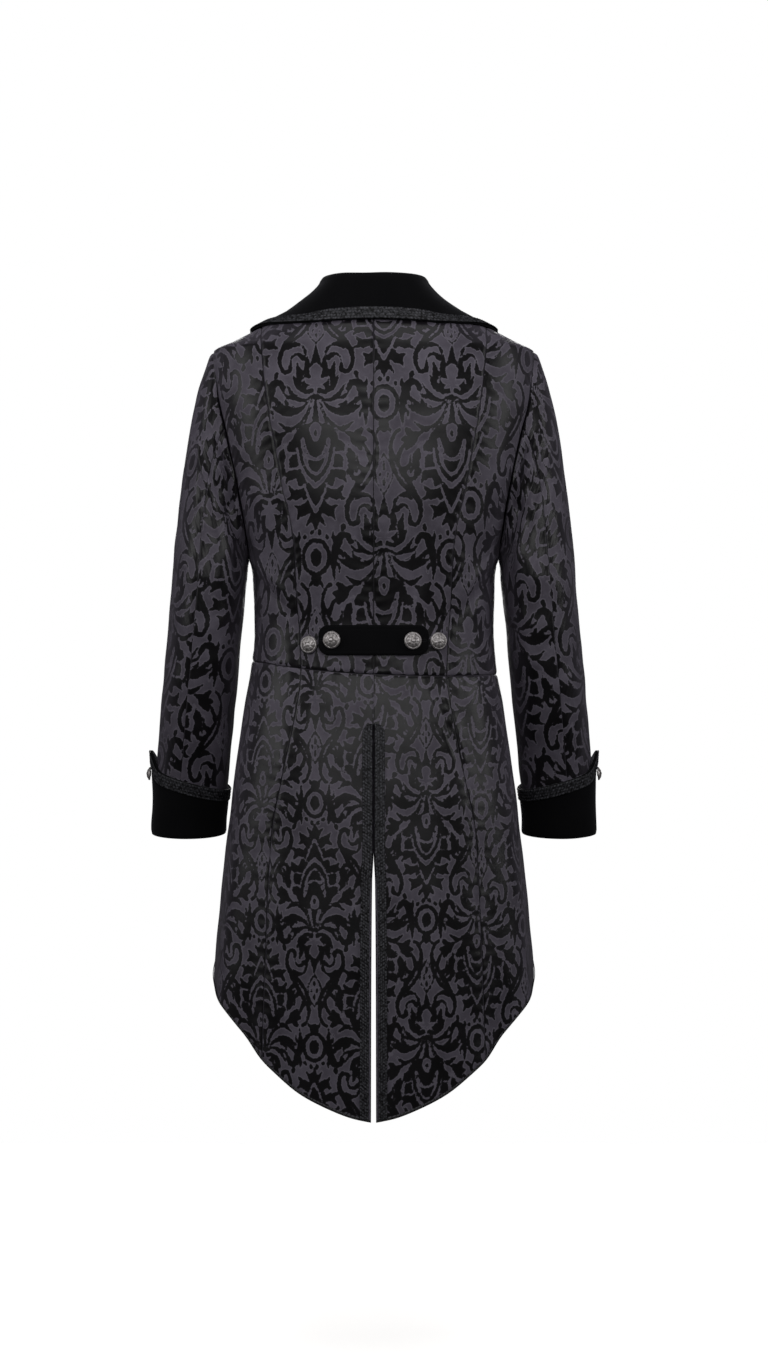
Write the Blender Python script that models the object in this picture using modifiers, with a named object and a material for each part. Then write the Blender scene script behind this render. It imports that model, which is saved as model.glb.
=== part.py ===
"""A damask tailcoat with a velvet collar, lapels, cuffs and half belt, filled out as it is worn.

The coat is made from the panels that a tailor cuts. Lengths are millimetres, and add_object turns
them to metres. The wearer faces -Y, so the back panels are at +Y and the left sleeve is at +X.
Height 0 is where the shoulder seam meets the neck, and a front or back is a side of the body.
"""

import math

import bmesh
import bpy
import numpy as np
from mathutils import Matrix, Vector

MILLIMETRE = 0.001

# Cloth thicknesses and the gaps between sewn pieces.
CLOTH = 2.0
VELVET = 2.2
BRAID = 1.6
BINDING = 0.8
BELT = 3.0
BELT_REST = 0.95
SEAM = 0.3
REST = 0.35

# Half the girth, the back's depth and the front's depth at each height, round the body's axis.
BODY_COLUMNS = ("height", "half_width", "back", "front")
BODY = (
    (-1100, 226, 137, 124),
    (-911, 215, 132, 122),
    (-858, 211, 130, 121),
    (-750, 200, 125, 119),
    (-643, 187, 118, 116),
    (-540, 172.5, 107, 111),
    (-495, 164, 101, 108),
    (-442, 159.5, 100, 109),
    (-402, 161, 104, 114),
    (-348, 165.5, 111, 121),
    (-308, 177, 115, 124),
    (-255, 192, 119, 126),
    (-188, 209, 119, 123),
    (-134, 218, 113, 115),
    (-95, 217, 104, 104),
    (-71, 214, 97, 96),
    (-60, 193, 92, 91),
    (-38, 150, 80, 80),
    (-15, 105, 65, 67),
    (0, 75, 60, 62),
    (40, 60, 55, 56),
)
SQUARENESS = 2.3

# Soft flutes of the skirt: where round the body, how wide, how far out at the hem.
FLUTE_COLUMNS = ("angle", "spread", "rise")
FLUTES = (
    (0.36, 0.14, 3.5),
    (0.78, 0.13, -4.5),
    (1.12, 0.15, 5.0),
    (1.95, 0.16, -5.0),
    (2.30, 0.17, 5.0),
)

NECK_HALF_WIDTH = 75.0
BACK_NECK_DROP = 14.0
SHOULDER_TIP = -71.0
ARMPIT = -348.0
ARMHOLE_BACK = 54.0
ARMHOLE_FRONT = 58.0
SIDE_SEAM_FORWARD = 0.06

# The waist seam dips at the centre back and lies a little higher on the wearer's left.
WAIST_CENTRE = -501.5
WAIST_SIDE_RISE = 9.0
WAIST_TILT = 9.0

# How far the side-back seam and the tail seam are from the centre back at each height.
PRINCESS_TOP = -38.0
PRINCESS_COLUMNS = ("height", "distance")
PRINCESS = (
    (-520, 94),
    (-459, 97),
    (-402, 101),
    (-345, 103.5),
    (-308, 108.5),
    (-270, 118),
    (-209, 129),
    (-150, 139),
    (-90, 146),
    (-38, 150),
)
TAIL_SEAM = (
    (-1100, 150),
    (-981, 146),
    (-845, 141),
    (-716, 134),
    (-638, 119),
    (-560, 103),
    (-500, 94.5),
    (-470, 94),
)
TAIL_SEAM_COLUMNS = PRINCESS_COLUMNS

# The centre vent opens below the seam, shut at first and then parted.
VENT_TOP = -566.0
VENT_COLUMNS = ("height", "half_gap")
VENT = (
    (-1100, 3.6),
    (-900, 3.1),
    (-770, 2.1),
    (-730, 0.3),
    (-560, 0.25),
    (-480, 0.15),
)

# The hem falls to the tails' points at the centre back and is cut away to the waist in front.
HEM_COLUMNS = ("angle", "height")
HEM = (
    (0.0, -1076),
    (0.09, -1070.5),
    (0.184, -1062),
    (0.354, -1043),
    (0.555, -1016),
    (0.711, -995),
    (0.868, -967),
    (1.076, -937),
    (1.263, -917),
    (1.45, -903),
    (1.571, -893),
    (1.80, -859),
    (2.10, -788),
    (2.40, -690),
    (2.65, -605),
    (2.85, -550),
    (3.00, -518),
    (3.10, -508),
)
CUTAWAY_TOP = 3.0
CUTAWAY_WIDTH = 300.0
CUTAWAY_CORNER = 1.62

# The front's inner edge, from the buttoned edge up: break of the lapel, gorge and neck point.
GORGE = (60.0, -28.0)
FRONT_EDGE_COLUMNS = ("height", "distance")
FRONT_EDGE = ((-560, -20), (-300, -20), (-28, 60), (0, 75))
UNDERLAP_SINK = 3.2
UNDERLAP_FROM = 44.0
UNDERLAP_TO = 21.0

# The sleeve below the armpit, section by section.
ARM_COLUMNS = ("height", "centre_x", "centre_y", "half_width", "half_depth")
ARM = (
    (-730, 252.5, -51, 47, 45),
    (-697, 251, -45, 47, 46),
    (-640, 246.5, -33, 49, 50),
    (-590, 241.5, -23, 49.5, 54),
    (-509, 233, -9, 50, 60),
    (-456, 227.5, -3, 49.5, 64),
    (-375, 220, 2, 50, 68),
)
ARM_TOP = -375.0
SLEEVE_END = -704.0
HEAD_OUT = (84.0, 35.0, -110.0)
HEAD_DOWN = (24.0, 0.0, -330.0)
HEAD_FULLNESS = 6.0
HEAD_FULLNESS_PLACE = 0.04
HEAD_STEPS = (0.0, 0.035, 0.10, 0.21, 0.36, 0.56, 0.78)
SEAM_BACK = 1.35
SEAM_FRONT = -1.75
# Drag folds of the sleeve: angle and height of the middle, half sizes, slant and depth.
CREASE_COLUMNS = ("angle", "height", "spread", "length", "slant", "rise")
CREASES = (
    (1.75, -205, 0.16, 60, 0.0075, 3.0),
    (2.10, -262, 0.16, 48, 0.0080, -3.0),
    (2.25, -318, 0.18, 42, 0.0060, 2.6),
    (-2.0, -300, 0.20, 55, -0.0060, 3.0),
    (-1.3, -500, 0.45, 26, 0.0, -3.0),
)

CUFF_END = -717.0
CUFF_TILT = 5.0
CUFF_LOW = 62.0
CUFF_SLANT = 28.0
CUFF_POINT = 22.0
CUFF_POINT_SPREAD = 0.36
CUFF_FLARE = 6.0
CUFF_GAP = 1.6
CUFF_HIGHEST = CUFF_LOW + CUFF_SLANT + CUFF_POINT
# Turns of the cuff's close columns round its point, and the turn of its button.
CUFF_CLOSE_TURNS = (0, 0.12, 0.26, 0.44)
CUFF_WIDE_TURN = 0.75
CUFF_BUTTON_TURN = 0.06
BRAID_WIDTH = 16.0
VENT_BRAID_WIDTH = 14.5
BINDING_WIDTH = 4.5

# The collar: the neck seam on the body, the top of the fold and the outer edge.
COLLAR_COLUMNS = ("place", "seam_x", "seam_z", "fold_x", "fold_y", "fold_z", "edge_x", "edge_y", "edge_z")
COLLAR = (
    (0.00, 0, -14, 0, 69, 24.5, 0, 85, -38.5),
    (0.22, 40, -10, 35, 62, 25.5, 60, 82, -40),
    (0.42, 64, -4, 58, 37, 27.5, 118, 60, -44),
    (0.60, 75, 0, 67, 0, 30, 165, 2, -43),
    (0.80, 72.5, -8, 65, -43, 18, 163, -46, -57),
    (1.00, 63.5, -22.5, 62, -75, -15, 134, -84, -62),
)
COLLAR_SHOULDER = 0.60
COLLAR_ROLL = 5.0
COLLAR_LIFT = 1.6
NOTCH = (96.0, -66.0)
NOTCH_SHARE = 0.47
LAPEL_EDGE = ((-20.0, -300.0), (55.0, -285.0), (125.0, -215.0), (150.0, -98.0))
# Where each lapel's edge starts along that curve, and its roll line's low end, by side.
LAPEL_START = {1: 0.05, -1: 0.19}
LAPEL_ROLL = {1: (-19.5, -297.0), -1: (2.5, -238.0)}
LAPEL_BRAID_ROW = 0.06
LAPEL_LIFT = 1.5
GORGE_GAP = 2.2

BELT_HEIGHT = -457.5
BELT_HALF_LENGTH = 71.0
BELT_HALF_WIDTH = 19.5
BELT_CORNER = 13.0
BUTTON_RADIUS = 11.5
CUFF_BUTTON_RADIUS = 9.0
# Belt buttons: distance to the wearer's left of the centre, height, and whether velvet is beneath.
BELT_BUTTONS = (
    ("belt_button_outer_left", 83.5, -463.5, False),
    ("belt_button_inner_left", 53.5, -457.5, True),
    ("belt_button_inner_right", -50.0, -458.5, True),
    ("belt_button_outer_right", -83.5, -458.8, False),
)
FRONT_BUTTON_HEIGHTS = (-318.0, -392.0, -466.0)

DAMASK = ("damask", (0.040, 0.038, 0.044, 1.0), 0.55, 0.0)
VELVET_PILE = ("velvet", (0.006, 0.006, 0.007, 1.0), 0.85, 0.0)
BRAIDED_CORD = ("braid", (0.020, 0.020, 0.022, 1.0), 0.6, 0.0)
BOUND_EDGE = ("binding", (0.016, 0.016, 0.018, 1.0), 0.5, 0.0)
PEWTER = ("pewter", (0.36, 0.34, 0.33, 1.0), 0.38, 0.9)

LEFT, RIGHT = 1, -1
SIDES = ((LEFT, "left"), (RIGHT, "right"))

# Cells along and across each panel.
BODY_ROWS = 18
ARMPIT_ROW = 13
SKIRT_ROWS = 10
SLEEVE_AROUND = 22
ARM_ROWS = 10


def smooth(x, points, values):
    """The curve through a table's points that never swings past them (monotone cubic)."""
    x, points, values = (np.asarray(a, float) for a in (x, points, values))
    step = np.diff(points)
    slope = np.diff(values) / step
    tangent = np.empty(len(points))
    tangent[0], tangent[-1] = slope[0], slope[-1]
    both = slope[:-1] * slope[1:]
    total = slope[:-1] + slope[1:]
    tangent[1:-1] = np.where(both > 0, 2 * both / np.where(total == 0, 1, total), 0)
    i = np.clip(np.searchsorted(points, x) - 1, 0, len(step) - 1)
    u = np.clip((x - points[i]) / step[i], 0, 1)
    rise = step[i] * (u * (1 - u) ** 2 * tangent[i] - u * u * (1 - u) * tangent[i + 1])
    return values[i] + u * u * (3 - 2 * u) * (values[i + 1] - values[i]) + rise


def read(rows, columns, name, key):
    """One named column of a table, read at key by a smooth curve over the first column."""
    table = np.array(rows, float)
    return smooth(key, table[:, 0], table[:, columns.index(name)])


def ease(u):
    u = np.clip(u, 0, 1)
    return u * u * (3 - 2 * u)


def unit(v):
    return v / np.maximum(np.linalg.norm(v, axis=-1, keepdims=True), 1e-9)


def body_sizes(z):
    return tuple(read(BODY, BODY_COLUMNS, name, z) for name in BODY_COLUMNS[1:])


def body(angle, z):
    """A point of the coat's outer side: angle 0 is the centre back and pi the centre front."""
    angle, z = np.broadcast_arrays(np.asarray(angle, float), np.asarray(z, float))
    half_width, back, front = body_sizes(z)
    s, c = np.sin(angle), np.cos(angle)
    power = 2 / SQUARENESS
    skirt = ease((WAIST_CENTRE - z) / 480)
    fold = sum(r * np.exp(-(((angle - a) / w) ** 2)) for a, w, r in FLUTES) * skirt
    x = (half_width + fold) * np.sign(s) * np.abs(s) ** power
    y = (np.where(c >= 0, back, front) + fold) * np.sign(c) * np.abs(c) ** power
    return np.stack([x, y, z], -1)


def body_normal(angle, z):
    turn = body(angle + 1e-3, z) - body(angle - 1e-3, z)
    up = body(angle, z + 0.4) - body(angle, z - 0.4)
    return unit(np.cross(up, turn))


def back_angle(x, z):
    """The angle at which the back half is x from the centre."""
    share = np.clip(np.abs(x) / body_sizes(z)[0], 0, 1)
    return np.sign(x) * np.arcsin(share ** (SQUARENESS / 2))


def front_angle(x, z):
    return math.pi - back_angle(x, z)


def side_angle(z, depth, half_depth):
    """The angle at which the body is a given depth from its side."""
    share = np.clip(depth / half_depth, 0, 1)
    return np.arccos(share ** (SQUARENESS / 2))


def waist_height(angle, side):
    turn = np.sin(angle)
    return WAIST_CENTRE + WAIST_SIDE_RISE * turn * turn + side * WAIST_TILT * turn


def hem_height(angle):
    return read(HEM, HEM_COLUMNS, "height", angle)


def fall(rows, knot_row):
    """Shares of the way down a body panel: close near the shoulder, with one row at the armpit."""
    knot = (SHOULDER_TIP - ARMPIT) / (SHOULDER_TIP - WAIST_CENTRE)
    k = np.arange(rows + 1)
    upper = knot * (k / knot_row) ** 1.5
    lower = knot + (1 - knot) * (k - knot_row) / (rows - knot_row)
    return np.where(k <= knot_row, upper, lower)


def armhole_depth(z, widest):
    middle, half = (SHOULDER_TIP + ARMPIT) / 2, (SHOULDER_TIP - ARMPIT) / 2
    return widest * np.sqrt(np.clip(1 - ((z - middle) / half) ** 2, 0, 1))


def outer_edge(side, down, back):
    """The armhole's edge and the side seam below it, as angles and heights from the tip down."""
    low = waist_height(math.pi / 2, side)
    z = SHOULDER_TIP + (low - SHOULDER_TIP) * down
    _, back_depth, front_depth = body_sizes(z)
    widest = ARMHOLE_BACK if back else ARMHOLE_FRONT
    reach = armhole_depth(z, widest)
    turn = side_angle(z, reach, back_depth if back else front_depth)
    angle = turn if back else math.pi - turn
    below = ease((ARMPIT - z) / 60) * SIDE_SEAM_FORWARD
    return np.where(z < ARMPIT, math.pi / 2 + below, angle), z


def back_centre_panel(side):
    """Centre back to the side-back seam, up to the neck and the shoulder seam."""
    down = fall(BODY_ROWS, ARMPIT_ROW)
    share = np.linspace(0, 1, 6)[:, None]
    top_x = share * body_sizes(PRINCESS_TOP)[0]
    neck = -BACK_NECK_DROP * (1 - np.clip(top_x / NECK_HALF_WIDTH, 0, 1) ** 2)
    slope = np.linspace(0, SHOULDER_TIP, 80)
    shoulder = np.interp(top_x, body_sizes(slope)[0], slope)
    top = np.where(top_x < NECK_HALF_WIDTH, neck, shoulder)
    level = PRINCESS_TOP + (WAIST_CENTRE - PRINCESS_TOP) * down
    x = share * read(PRINCESS, PRINCESS_COLUMNS, "distance", level)
    low = waist_height(back_angle(x, np.full_like(x, WAIST_CENTRE)), side)
    z = top + (low - top) * down
    return back_angle(x, z), z


def back_side_panel(side):
    """Side-back seam to the armhole and the side seam."""
    down = fall(BODY_ROWS, ARMPIT_ROW)
    centre_angle, centre_z = back_centre_panel(side)
    edge_angle, edge_z = outer_edge(side, down, back=True)
    share = np.linspace(0, 1, 4)[:, None]
    angle = centre_angle[-1] + (edge_angle - centre_angle[-1]) * share
    z = centre_z[-1] + (edge_z - centre_z[-1]) * share
    z[:, -1] = waist_height(angle[:, -1], side)
    return angle, z


def front_panel(side):
    """Armhole and side seam to the lapel's roll line and the buttoned edge."""
    down = fall(BODY_ROWS, ARMPIT_ROW)
    edge_angle, edge_z = outer_edge(side, down, back=False)
    low = waist_height(math.pi, side)
    inner_z = low * down
    heights, distances = np.array(FRONT_EDGE, float).T
    inner_angle = front_angle(np.interp(inner_z, heights, distances), inner_z)
    share = np.linspace(0, 1, 10)[:, None]
    angle = edge_angle + (inner_angle - edge_angle) * share
    z = edge_z + (inner_z - edge_z) * share
    z[:, -1] = waist_height(angle[:, -1], side)
    return angle, z


def tail_seam_line(side, down):
    angle = np.full_like(down, 0.5)
    for _ in range(6):
        z = waist_height(angle, side) + (hem_height(angle) - waist_height(angle, side)) * down
        angle = back_angle(read(TAIL_SEAM, TAIL_SEAM_COLUMNS, "distance", z), z)
    return angle, z


def skirt_rows():
    """Shares of the way down a skirt panel: a row at the vent's top, and the hem's binding last."""
    drop = WAIST_CENTRE - hem_height(0.0)
    vent = (WAIST_CENTRE - VENT_TOP) / drop
    below = np.linspace(vent, 1 - BINDING_WIDTH / drop, SKIRT_ROWS)
    return np.concatenate([[0, vent / 2], below, [1]])


def tail_back_panel(side):
    """The vent's edge to the tail seam. The first column is as wide as the vent's braid."""
    down = skirt_rows()
    seam_angle, _ = tail_seam_line(side, down)
    level = WAIST_CENTRE + (hem_height(0.0) - WAIST_CENTRE) * down
    edge = read(VENT, VENT_COLUMNS, "half_gap", level)
    edge_angle = back_angle(edge, level)
    braid_angle = back_angle(edge + VENT_BRAID_WIDTH, level)
    rest = braid_angle + (seam_angle - braid_angle) * np.linspace(0, 1, 6)[:, None]
    angle = np.vstack([edge_angle, rest])
    low, high = hem_height(angle), waist_height(angle, side)
    return angle, high + (low - high) * down


def tail_side_panel(side):
    """Tail seam to the cutaway edge: a patch between four curves, its corner in the hem."""
    down = skirt_rows()
    left_angle, left_z = tail_seam_line(side, down)
    across = np.append(np.linspace(0, 1 - BINDING_WIDTH / CUTAWAY_WIDTH, 9), 1)[:, None]
    right_angle = CUTAWAY_TOP + (CUTAWAY_CORNER - CUTAWAY_TOP) * down
    right_z = hem_height(right_angle)
    right_z[0] = waist_height(CUTAWAY_TOP, side) - SEAM
    top_angle = left_angle[0] + (CUTAWAY_TOP - left_angle[0]) * across
    top_z = waist_height(top_angle, side)
    low_angle = left_angle[-1] + (CUTAWAY_CORNER - left_angle[-1]) * across
    low_z = hem_height(low_angle)

    def patch(left, right, top, low):
        corners = (1 - across) * ((1 - down) * left[0] + down * left[-1])
        corners = corners + across * ((1 - down) * right[0] + down * right[-1])
        return (1 - across) * left + across * right + (1 - down) * top + down * low - corners

    return patch(left_angle, right_angle, top_angle, low_angle), patch(left_z, right_z, top_z, low_z)


def armhole(turn):
    """A point of the armhole's edge: turn 0 is the shoulder tip, and a quarter turn the back."""
    middle, half = (SHOULDER_TIP + ARMPIT) / 2, (SHOULDER_TIP - ARMPIT) / 2
    z = middle + half * np.cos(turn)
    half_width, back, front = body_sizes(z)
    s = np.sin(turn)
    y = np.where(s >= 0, ARMHOLE_BACK, ARMHOLE_FRONT) * s
    depth = np.where(s >= 0, back, front)
    x = half_width * (1 - (np.abs(y) / depth) ** SQUARENESS) ** (1 / SQUARENESS)
    return np.stack([x, y, z], -1)


def arm(turn, z):
    """A point of the sleeve below the armpit: turn 0 is the outer side."""
    cx, cy, a, b = (read(ARM, ARM_COLUMNS, name, z) for name in ARM_COLUMNS[1:])
    return np.stack([cx + a * np.cos(turn), cy + b * np.sin(turn), z + 0 * turn], -1)


def sleeve(turn, way):
    """The sleeve's outer side: way 0 to 1 is the head, from the armhole, and 1 to 2 the arm."""
    turn, way = np.broadcast_arrays(np.asarray(turn, float), np.asarray(way, float))
    reach = (0.12 + 0.88 * ((1 + np.cos(turn)) / 2) ** 0.8)[..., None]
    out = np.stack([0 * turn + HEAD_OUT[0], HEAD_OUT[1] * np.sin(turn), 0 * turn + HEAD_OUT[2]], -1)
    u = np.clip(way, 0, 1)[..., None]
    start, end = armhole(turn), arm(turn, np.full_like(turn, ARM_TOP))
    head = (1 + 2 * u) * (1 - u) ** 2 * start + u * (1 - u) ** 2 * reach * out
    head = head + u * u * (3 - 2 * u) * end - u * u * (1 - u) * reach * np.array(HEAD_DOWN)
    near_edge = u / HEAD_FULLNESS_PLACE
    outer_share = ((1 + np.cos(turn)) / 2)[..., None]
    roped = HEAD_FULLNESS * near_edge * np.exp(1 - near_edge) * outer_share**3
    head = head + roped * np.array([1, 0, 0.25])
    low = arm(turn, ARM_TOP + (SLEEVE_END - ARM_TOP) * np.clip(way - 1, 0, 2))
    return np.where((way < 1)[..., None], head, low)


def sleeve_normal(turn, way):
    around = sleeve(turn + 1e-3, way) - sleeve(turn - 1e-3, way)
    step = 1e-3
    along = sleeve(turn, np.maximum(way, step) + step) - sleeve(turn, np.maximum(way, step) - step)
    return unit(np.cross(around, along) * -1)


def creased_sleeve(turn, way):
    """The sleeve with its drag folds, and its normals."""
    points, normals = sleeve(turn, way), sleeve_normal(turn, way)
    free = ease(np.clip(way, 0, 1) * 4)
    for angle, height, spread, length, slant, rise in CREASES:
        down = points[..., 2] - height
        across = (np.remainder(turn - angle - slant * down + math.pi, 2 * math.pi) - math.pi) / spread
        depth = rise * np.exp(-(across**2) - (down / length) ** 2) * free
        points = points + normals * depth[..., None]
    return points, normals


def cuff_rise(turn):
    """How high the cuff's upper edge is above its end."""
    off = np.remainder(turn + math.pi, 2 * math.pi) - math.pi
    point = CUFF_POINT * np.exp(-((off / CUFF_POINT_SPREAD) ** 2))
    return CUFF_LOW + CUFF_SLANT * (1 + np.cos(turn)) / 2 + point


def cuff_grid(turn):
    """The cuff's outer side from its end up. The last row is as high as its braid."""
    rise = cuff_rise(turn)[:, None]
    up = np.array([0, 0.34, 0.68, 1.0])
    height = np.hstack([(rise - BRAID_WIDTH) * up, rise])
    z = CUFF_END - CUFF_TILT * np.sin(turn)[:, None] + height
    way = 1 + (z - ARM_TOP) / (SLEEVE_END - ARM_TOP)
    around = turn[:, None] + 0 * way
    off = np.remainder(around + math.pi, 2 * math.pi) - math.pi
    flare = CUFF_FLARE * np.exp(-((off / CUFF_POINT_SPREAD) ** 2)) * (height / rise.max()) ** 3
    normals = sleeve_normal(around, way)
    return sleeve(around, way) + normals * (CUFF_GAP + VELVET + flare)[..., None], normals


def clear_of_body(points, clearance):
    """Moves points that are nearer to the body than the clearance straight out of it."""

    def share(p):
        half_width, back, front = body_sizes(p[..., 2])
        depth = np.where(p[..., 1] >= 0, back, front)
        total = (np.abs(p[..., 0]) / half_width) ** SQUARENESS + (np.abs(p[..., 1]) / depth) ** SQUARENESS
        return total ** (1 / SQUARENESS) - 1

    for _ in range(5):
        slope = np.stack([(share(points + e) - share(points - e)) for e in np.eye(3) * 0.2], -1) / 0.4
        steep = np.linalg.norm(slope, axis=-1)
        short = np.maximum(clearance - share(points) / steep, 0)
        points = points + slope / steep[..., None] * short[..., None]
    return points


def on_front(x, z, lift):
    """A point at that distance and height on the front, lifted off the cloth."""
    angle = front_angle(x, z)
    return body(angle, z) + body_normal(angle, z) * np.asarray(lift)[..., None]


def gorge_line(share):
    """The seam between collar and lapel, then the notch's corner, as distances and heights."""
    u = np.clip(share / NOTCH_SHARE, 0, 1)
    return GORGE[0] + (NOTCH[0] - GORGE[0]) * u, GORGE[1] + (NOTCH[1] - GORGE[1]) * u


def collar_grid(places, shares):
    """The collar from its neck seam over the fold to its outer edge. Places run right to left."""
    table = np.array(COLLAR, float)
    mirror = table[:0:-1].copy()
    mirror[:, [0, 1, 3, 6]] *= -1
    whole = np.vstack([mirror, table])
    get = {name: smooth(places, whole[:, 0], whole[:, i]) for i, name in enumerate(COLLAR_COLUMNS)}
    ahead = np.abs(places) > COLLAR_SHOULDER
    seam_x, seam_z = get["seam_x"], get["seam_z"]
    seam_angle = np.where(ahead, front_angle(seam_x, seam_z), back_angle(seam_x, seam_z))
    seam = body(seam_angle, seam_z) + np.array([0, 0, SEAM])
    fold = np.stack([get["fold_x"], get["fold_y"], get["fold_z"]], -1)
    edge = np.stack([get["edge_x"], get["edge_y"], get["edge_z"]], -1)
    out = unit((edge - fold) * np.array([1, 1, 0])) * COLLAR_ROLL
    drop = np.array([0, 0, -COLLAR_ROLL])
    round_back = ease(np.abs(places) / COLLAR_SHOULDER)[:, None]
    start = fold + out + drop
    columns = [seam, (seam + fold - out + drop) / 2, fold - out + drop, fold]
    for share in shares:
        level = share ** (0.65 + 0.55 * round_back)
        sink = share ** (1.05 - 0.18 * round_back)
        reach = edge - start
        columns.append(start + reach * np.concatenate([level, level, sink], 1))
    points = np.stack(columns, 1)
    end = np.clip((np.abs(places) - COLLAR_SHOULDER) / (1 - COLLAR_SHOULDER), 0, 1)[:, None, None] ** 2
    fall_share = np.concatenate([[0, 0, 0, 0], shares])
    sign = np.sign(places)[:, None]
    x, z = gorge_line(fall_share)
    beyond = ease((fall_share - NOTCH_SHARE) / (1 - NOTCH_SHARE))
    tip_x, tip_z = table[-1, 6], table[-1, 8]
    x, z = x + (tip_x - x) * beyond, z + (tip_z - z) * beyond + GORGE_GAP
    front_end = on_front(x, z, np.full_like(x, COLLAR_LIFT + VELVET))
    shift = (front_end - points[-1]) * np.where(fall_share > 0, 1.0, 0.0)[:, None]
    points = points + shift[None] * end * np.stack([sign, sign * 0 + 1, sign * 0 + 1], -1)
    points[:, 4:] = clear_of_body(points[:, 4:], COLLAR_LIFT + VELVET)
    return points


def lapel_grid(side):
    """The lapel from the break up to the gorge. Its last column and row are as wide as its braid."""
    corner = np.array(LAPEL_EDGE)
    gone = np.linspace(LAPEL_START[side], 1, 10)[:, None]
    weights = np.hstack([(1 - gone) ** 3, 3 * gone * (1 - gone) ** 2, 3 * gone**2 * (1 - gone), gone**3])
    edge = weights @ corner
    roll_start = np.array(LAPEL_ROLL[side])
    up = np.linspace(0, 1, 9)
    up = np.append(up[:-1] * (1 - LAPEL_BRAID_ROW) / up[-2], 1)
    roll = roll_start + (np.array(GORGE) - roll_start) * up[:, None]
    gone_up = np.interp(up, np.linspace(0, 1, 10), gone[:, 0])[:, None]
    edge = np.stack([np.interp(gone_up[:, 0], gone[:, 0], edge[:, i]) for i in (0, 1)], -1)
    width = np.linalg.norm(edge - roll, axis=1)
    braid = np.clip(BRAID_WIDTH / width, 0, 0.55)
    inner = np.array([0, 0.27, 0.52, 0.76, 1.0])
    across = np.hstack([inner * (1 - braid[:, None]), np.ones((9, 1))])
    flat = roll[:, None] + (edge - roll)[:, None] * across[..., None]
    x, z = gorge_line(across[-1])
    beyond = np.clip((across[-1] - NOTCH_SHARE) / (1 - NOTCH_SHARE), 0, 1)
    top = np.stack([x + (edge[-1, 0] - x) * beyond, z + (edge[-1, 1] - z) * beyond], -1)
    flat = flat + (up[:, None, None] ** 4) * (top - flat[-1])[None]
    return flat


def mesh_object(name, points, faces, material):
    """An object of the named material whose faces all point out."""
    mesh = bpy.data.meshes.new(name)
    mesh.from_pydata((np.asarray(points) * MILLIMETRE).tolist(), [], faces)
    grown = bmesh.new()
    grown.from_mesh(mesh)
    bmesh.ops.recalc_face_normals(grown, faces=grown.faces)
    grown.to_mesh(mesh)
    grown.free()
    return add_object(name, mesh, material)


def add_object(name, mesh, material):
    label, colour, roughness, metallic = material
    finish = bpy.data.materials.get(label)
    if finish is None:
        finish = bpy.data.materials.new(label)
        finish.use_nodes = True
        shader = finish.node_tree.nodes["Principled BSDF"]
        shader.inputs["Base Color"].default_value = colour
        shader.inputs["Roughness"].default_value = roughness
        shader.inputs["Metallic"].default_value = metallic
    mesh.materials.append(finish)
    made = bpy.data.objects.new(name, mesh)
    bpy.data.collections["tailcoat"].objects.link(made)
    mesh.shade_smooth()
    return made


def wall(name, outer, inner, material, closed=False):
    """A cloth wall between two grids of points.

    A seam's two edges have to stay parallel through the cloth, so both sides are given and joined
    at the rim, each cell cut along the same diagonal.
    """
    rows, columns = outer.shape[:2]
    points = np.concatenate([outer.reshape(-1, 3), inner.reshape(-1, 3)])
    index = np.arange(rows * columns).reshape(rows, columns)
    under = index + rows * columns
    if closed:
        index, under = (np.vstack([a, a[:1]]) for a in (index, under))
    faces = []

    def cells(grid, flip):
        a, b, c, d = grid[:-1, :-1], grid[1:, :-1], grid[1:, 1:], grid[:-1, 1:]
        for triangle in ((a, b, c), (a, c, d)):
            triple = np.stack([t.ravel() for t in triangle], 1)
            faces.extend((triple[:, ::-1] if flip else triple).tolist())

    cells(index, False)
    cells(under, True)
    rims = [(index[:, 0], under[:, 0]), (under[:, -1], index[:, -1])]
    if not closed:
        rims += [(under[0], index[0]), (index[-1], under[-1])]
    for first, second in rims:
        cells(np.stack([first, second], 1), True)
    return mesh_object(name, points, faces, material)


def drawn_in(outer, inner, sides, gap=SEAM / 2):
    """Both sides of a wall with the named edges drawn in by half the seam's gap."""
    outer, inner = outer.copy(), inner.copy()
    edges = {"first": (0, 1), "last": (-1, -2)}
    for which, axis in sides:
        edge, beside = edges[which]
        take = (lambda g, i: g[i]) if axis == 0 else (lambda g, i: g[:, i])
        shift = unit(take(outer, beside) - take(outer, edge)) * gap
        take(outer, edge)[...] += shift
        take(inner, edge)[...] += shift
    return outer, inner


def sunk(points, side):
    """How far in a point is pressed where the right front passes under the left."""
    if side == LEFT:
        return np.zeros(points.shape[:-1])
    under = ease((UNDERLAP_FROM - points[..., 0]) / (UNDERLAP_FROM - UNDERLAP_TO))
    return UNDERLAP_SINK * under * (points[..., 1] < 0) * ease((points[..., 2] + 620) / 100)


def mirrored(points, side):
    return points * np.array([side, 1, 1])


ALL_EDGES = (("first", 0), ("last", 0), ("first", 1), ("last", 1))


def body_panel(name, grid, side):
    """One damask panel of the body. It returns the panel's points and normals for what lies on it."""
    angle, z = grid
    points, normals = body(angle, z), body_normal(angle, z)
    points = points - normals * sunk(points, side)[..., None]
    outer, inner = drawn_in(points, points - normals * CLOTH, ALL_EDGES)
    wall(name, mirrored(outer, side), mirrored(inner, side), DAMASK)
    return points, normals


def strip(name, points, normals, side, thickness, material, edges=(), lift=REST, closed=False):
    """A flat trim on a panel, made from the panel's own points moved out."""
    outer, inner = points + normals * (lift + thickness), points + normals * lift
    outer, inner = drawn_in(outer, inner, edges, gap=SEAM)
    return wall(name, mirrored(outer, side), mirrored(inner, side), material, closed)


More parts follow.
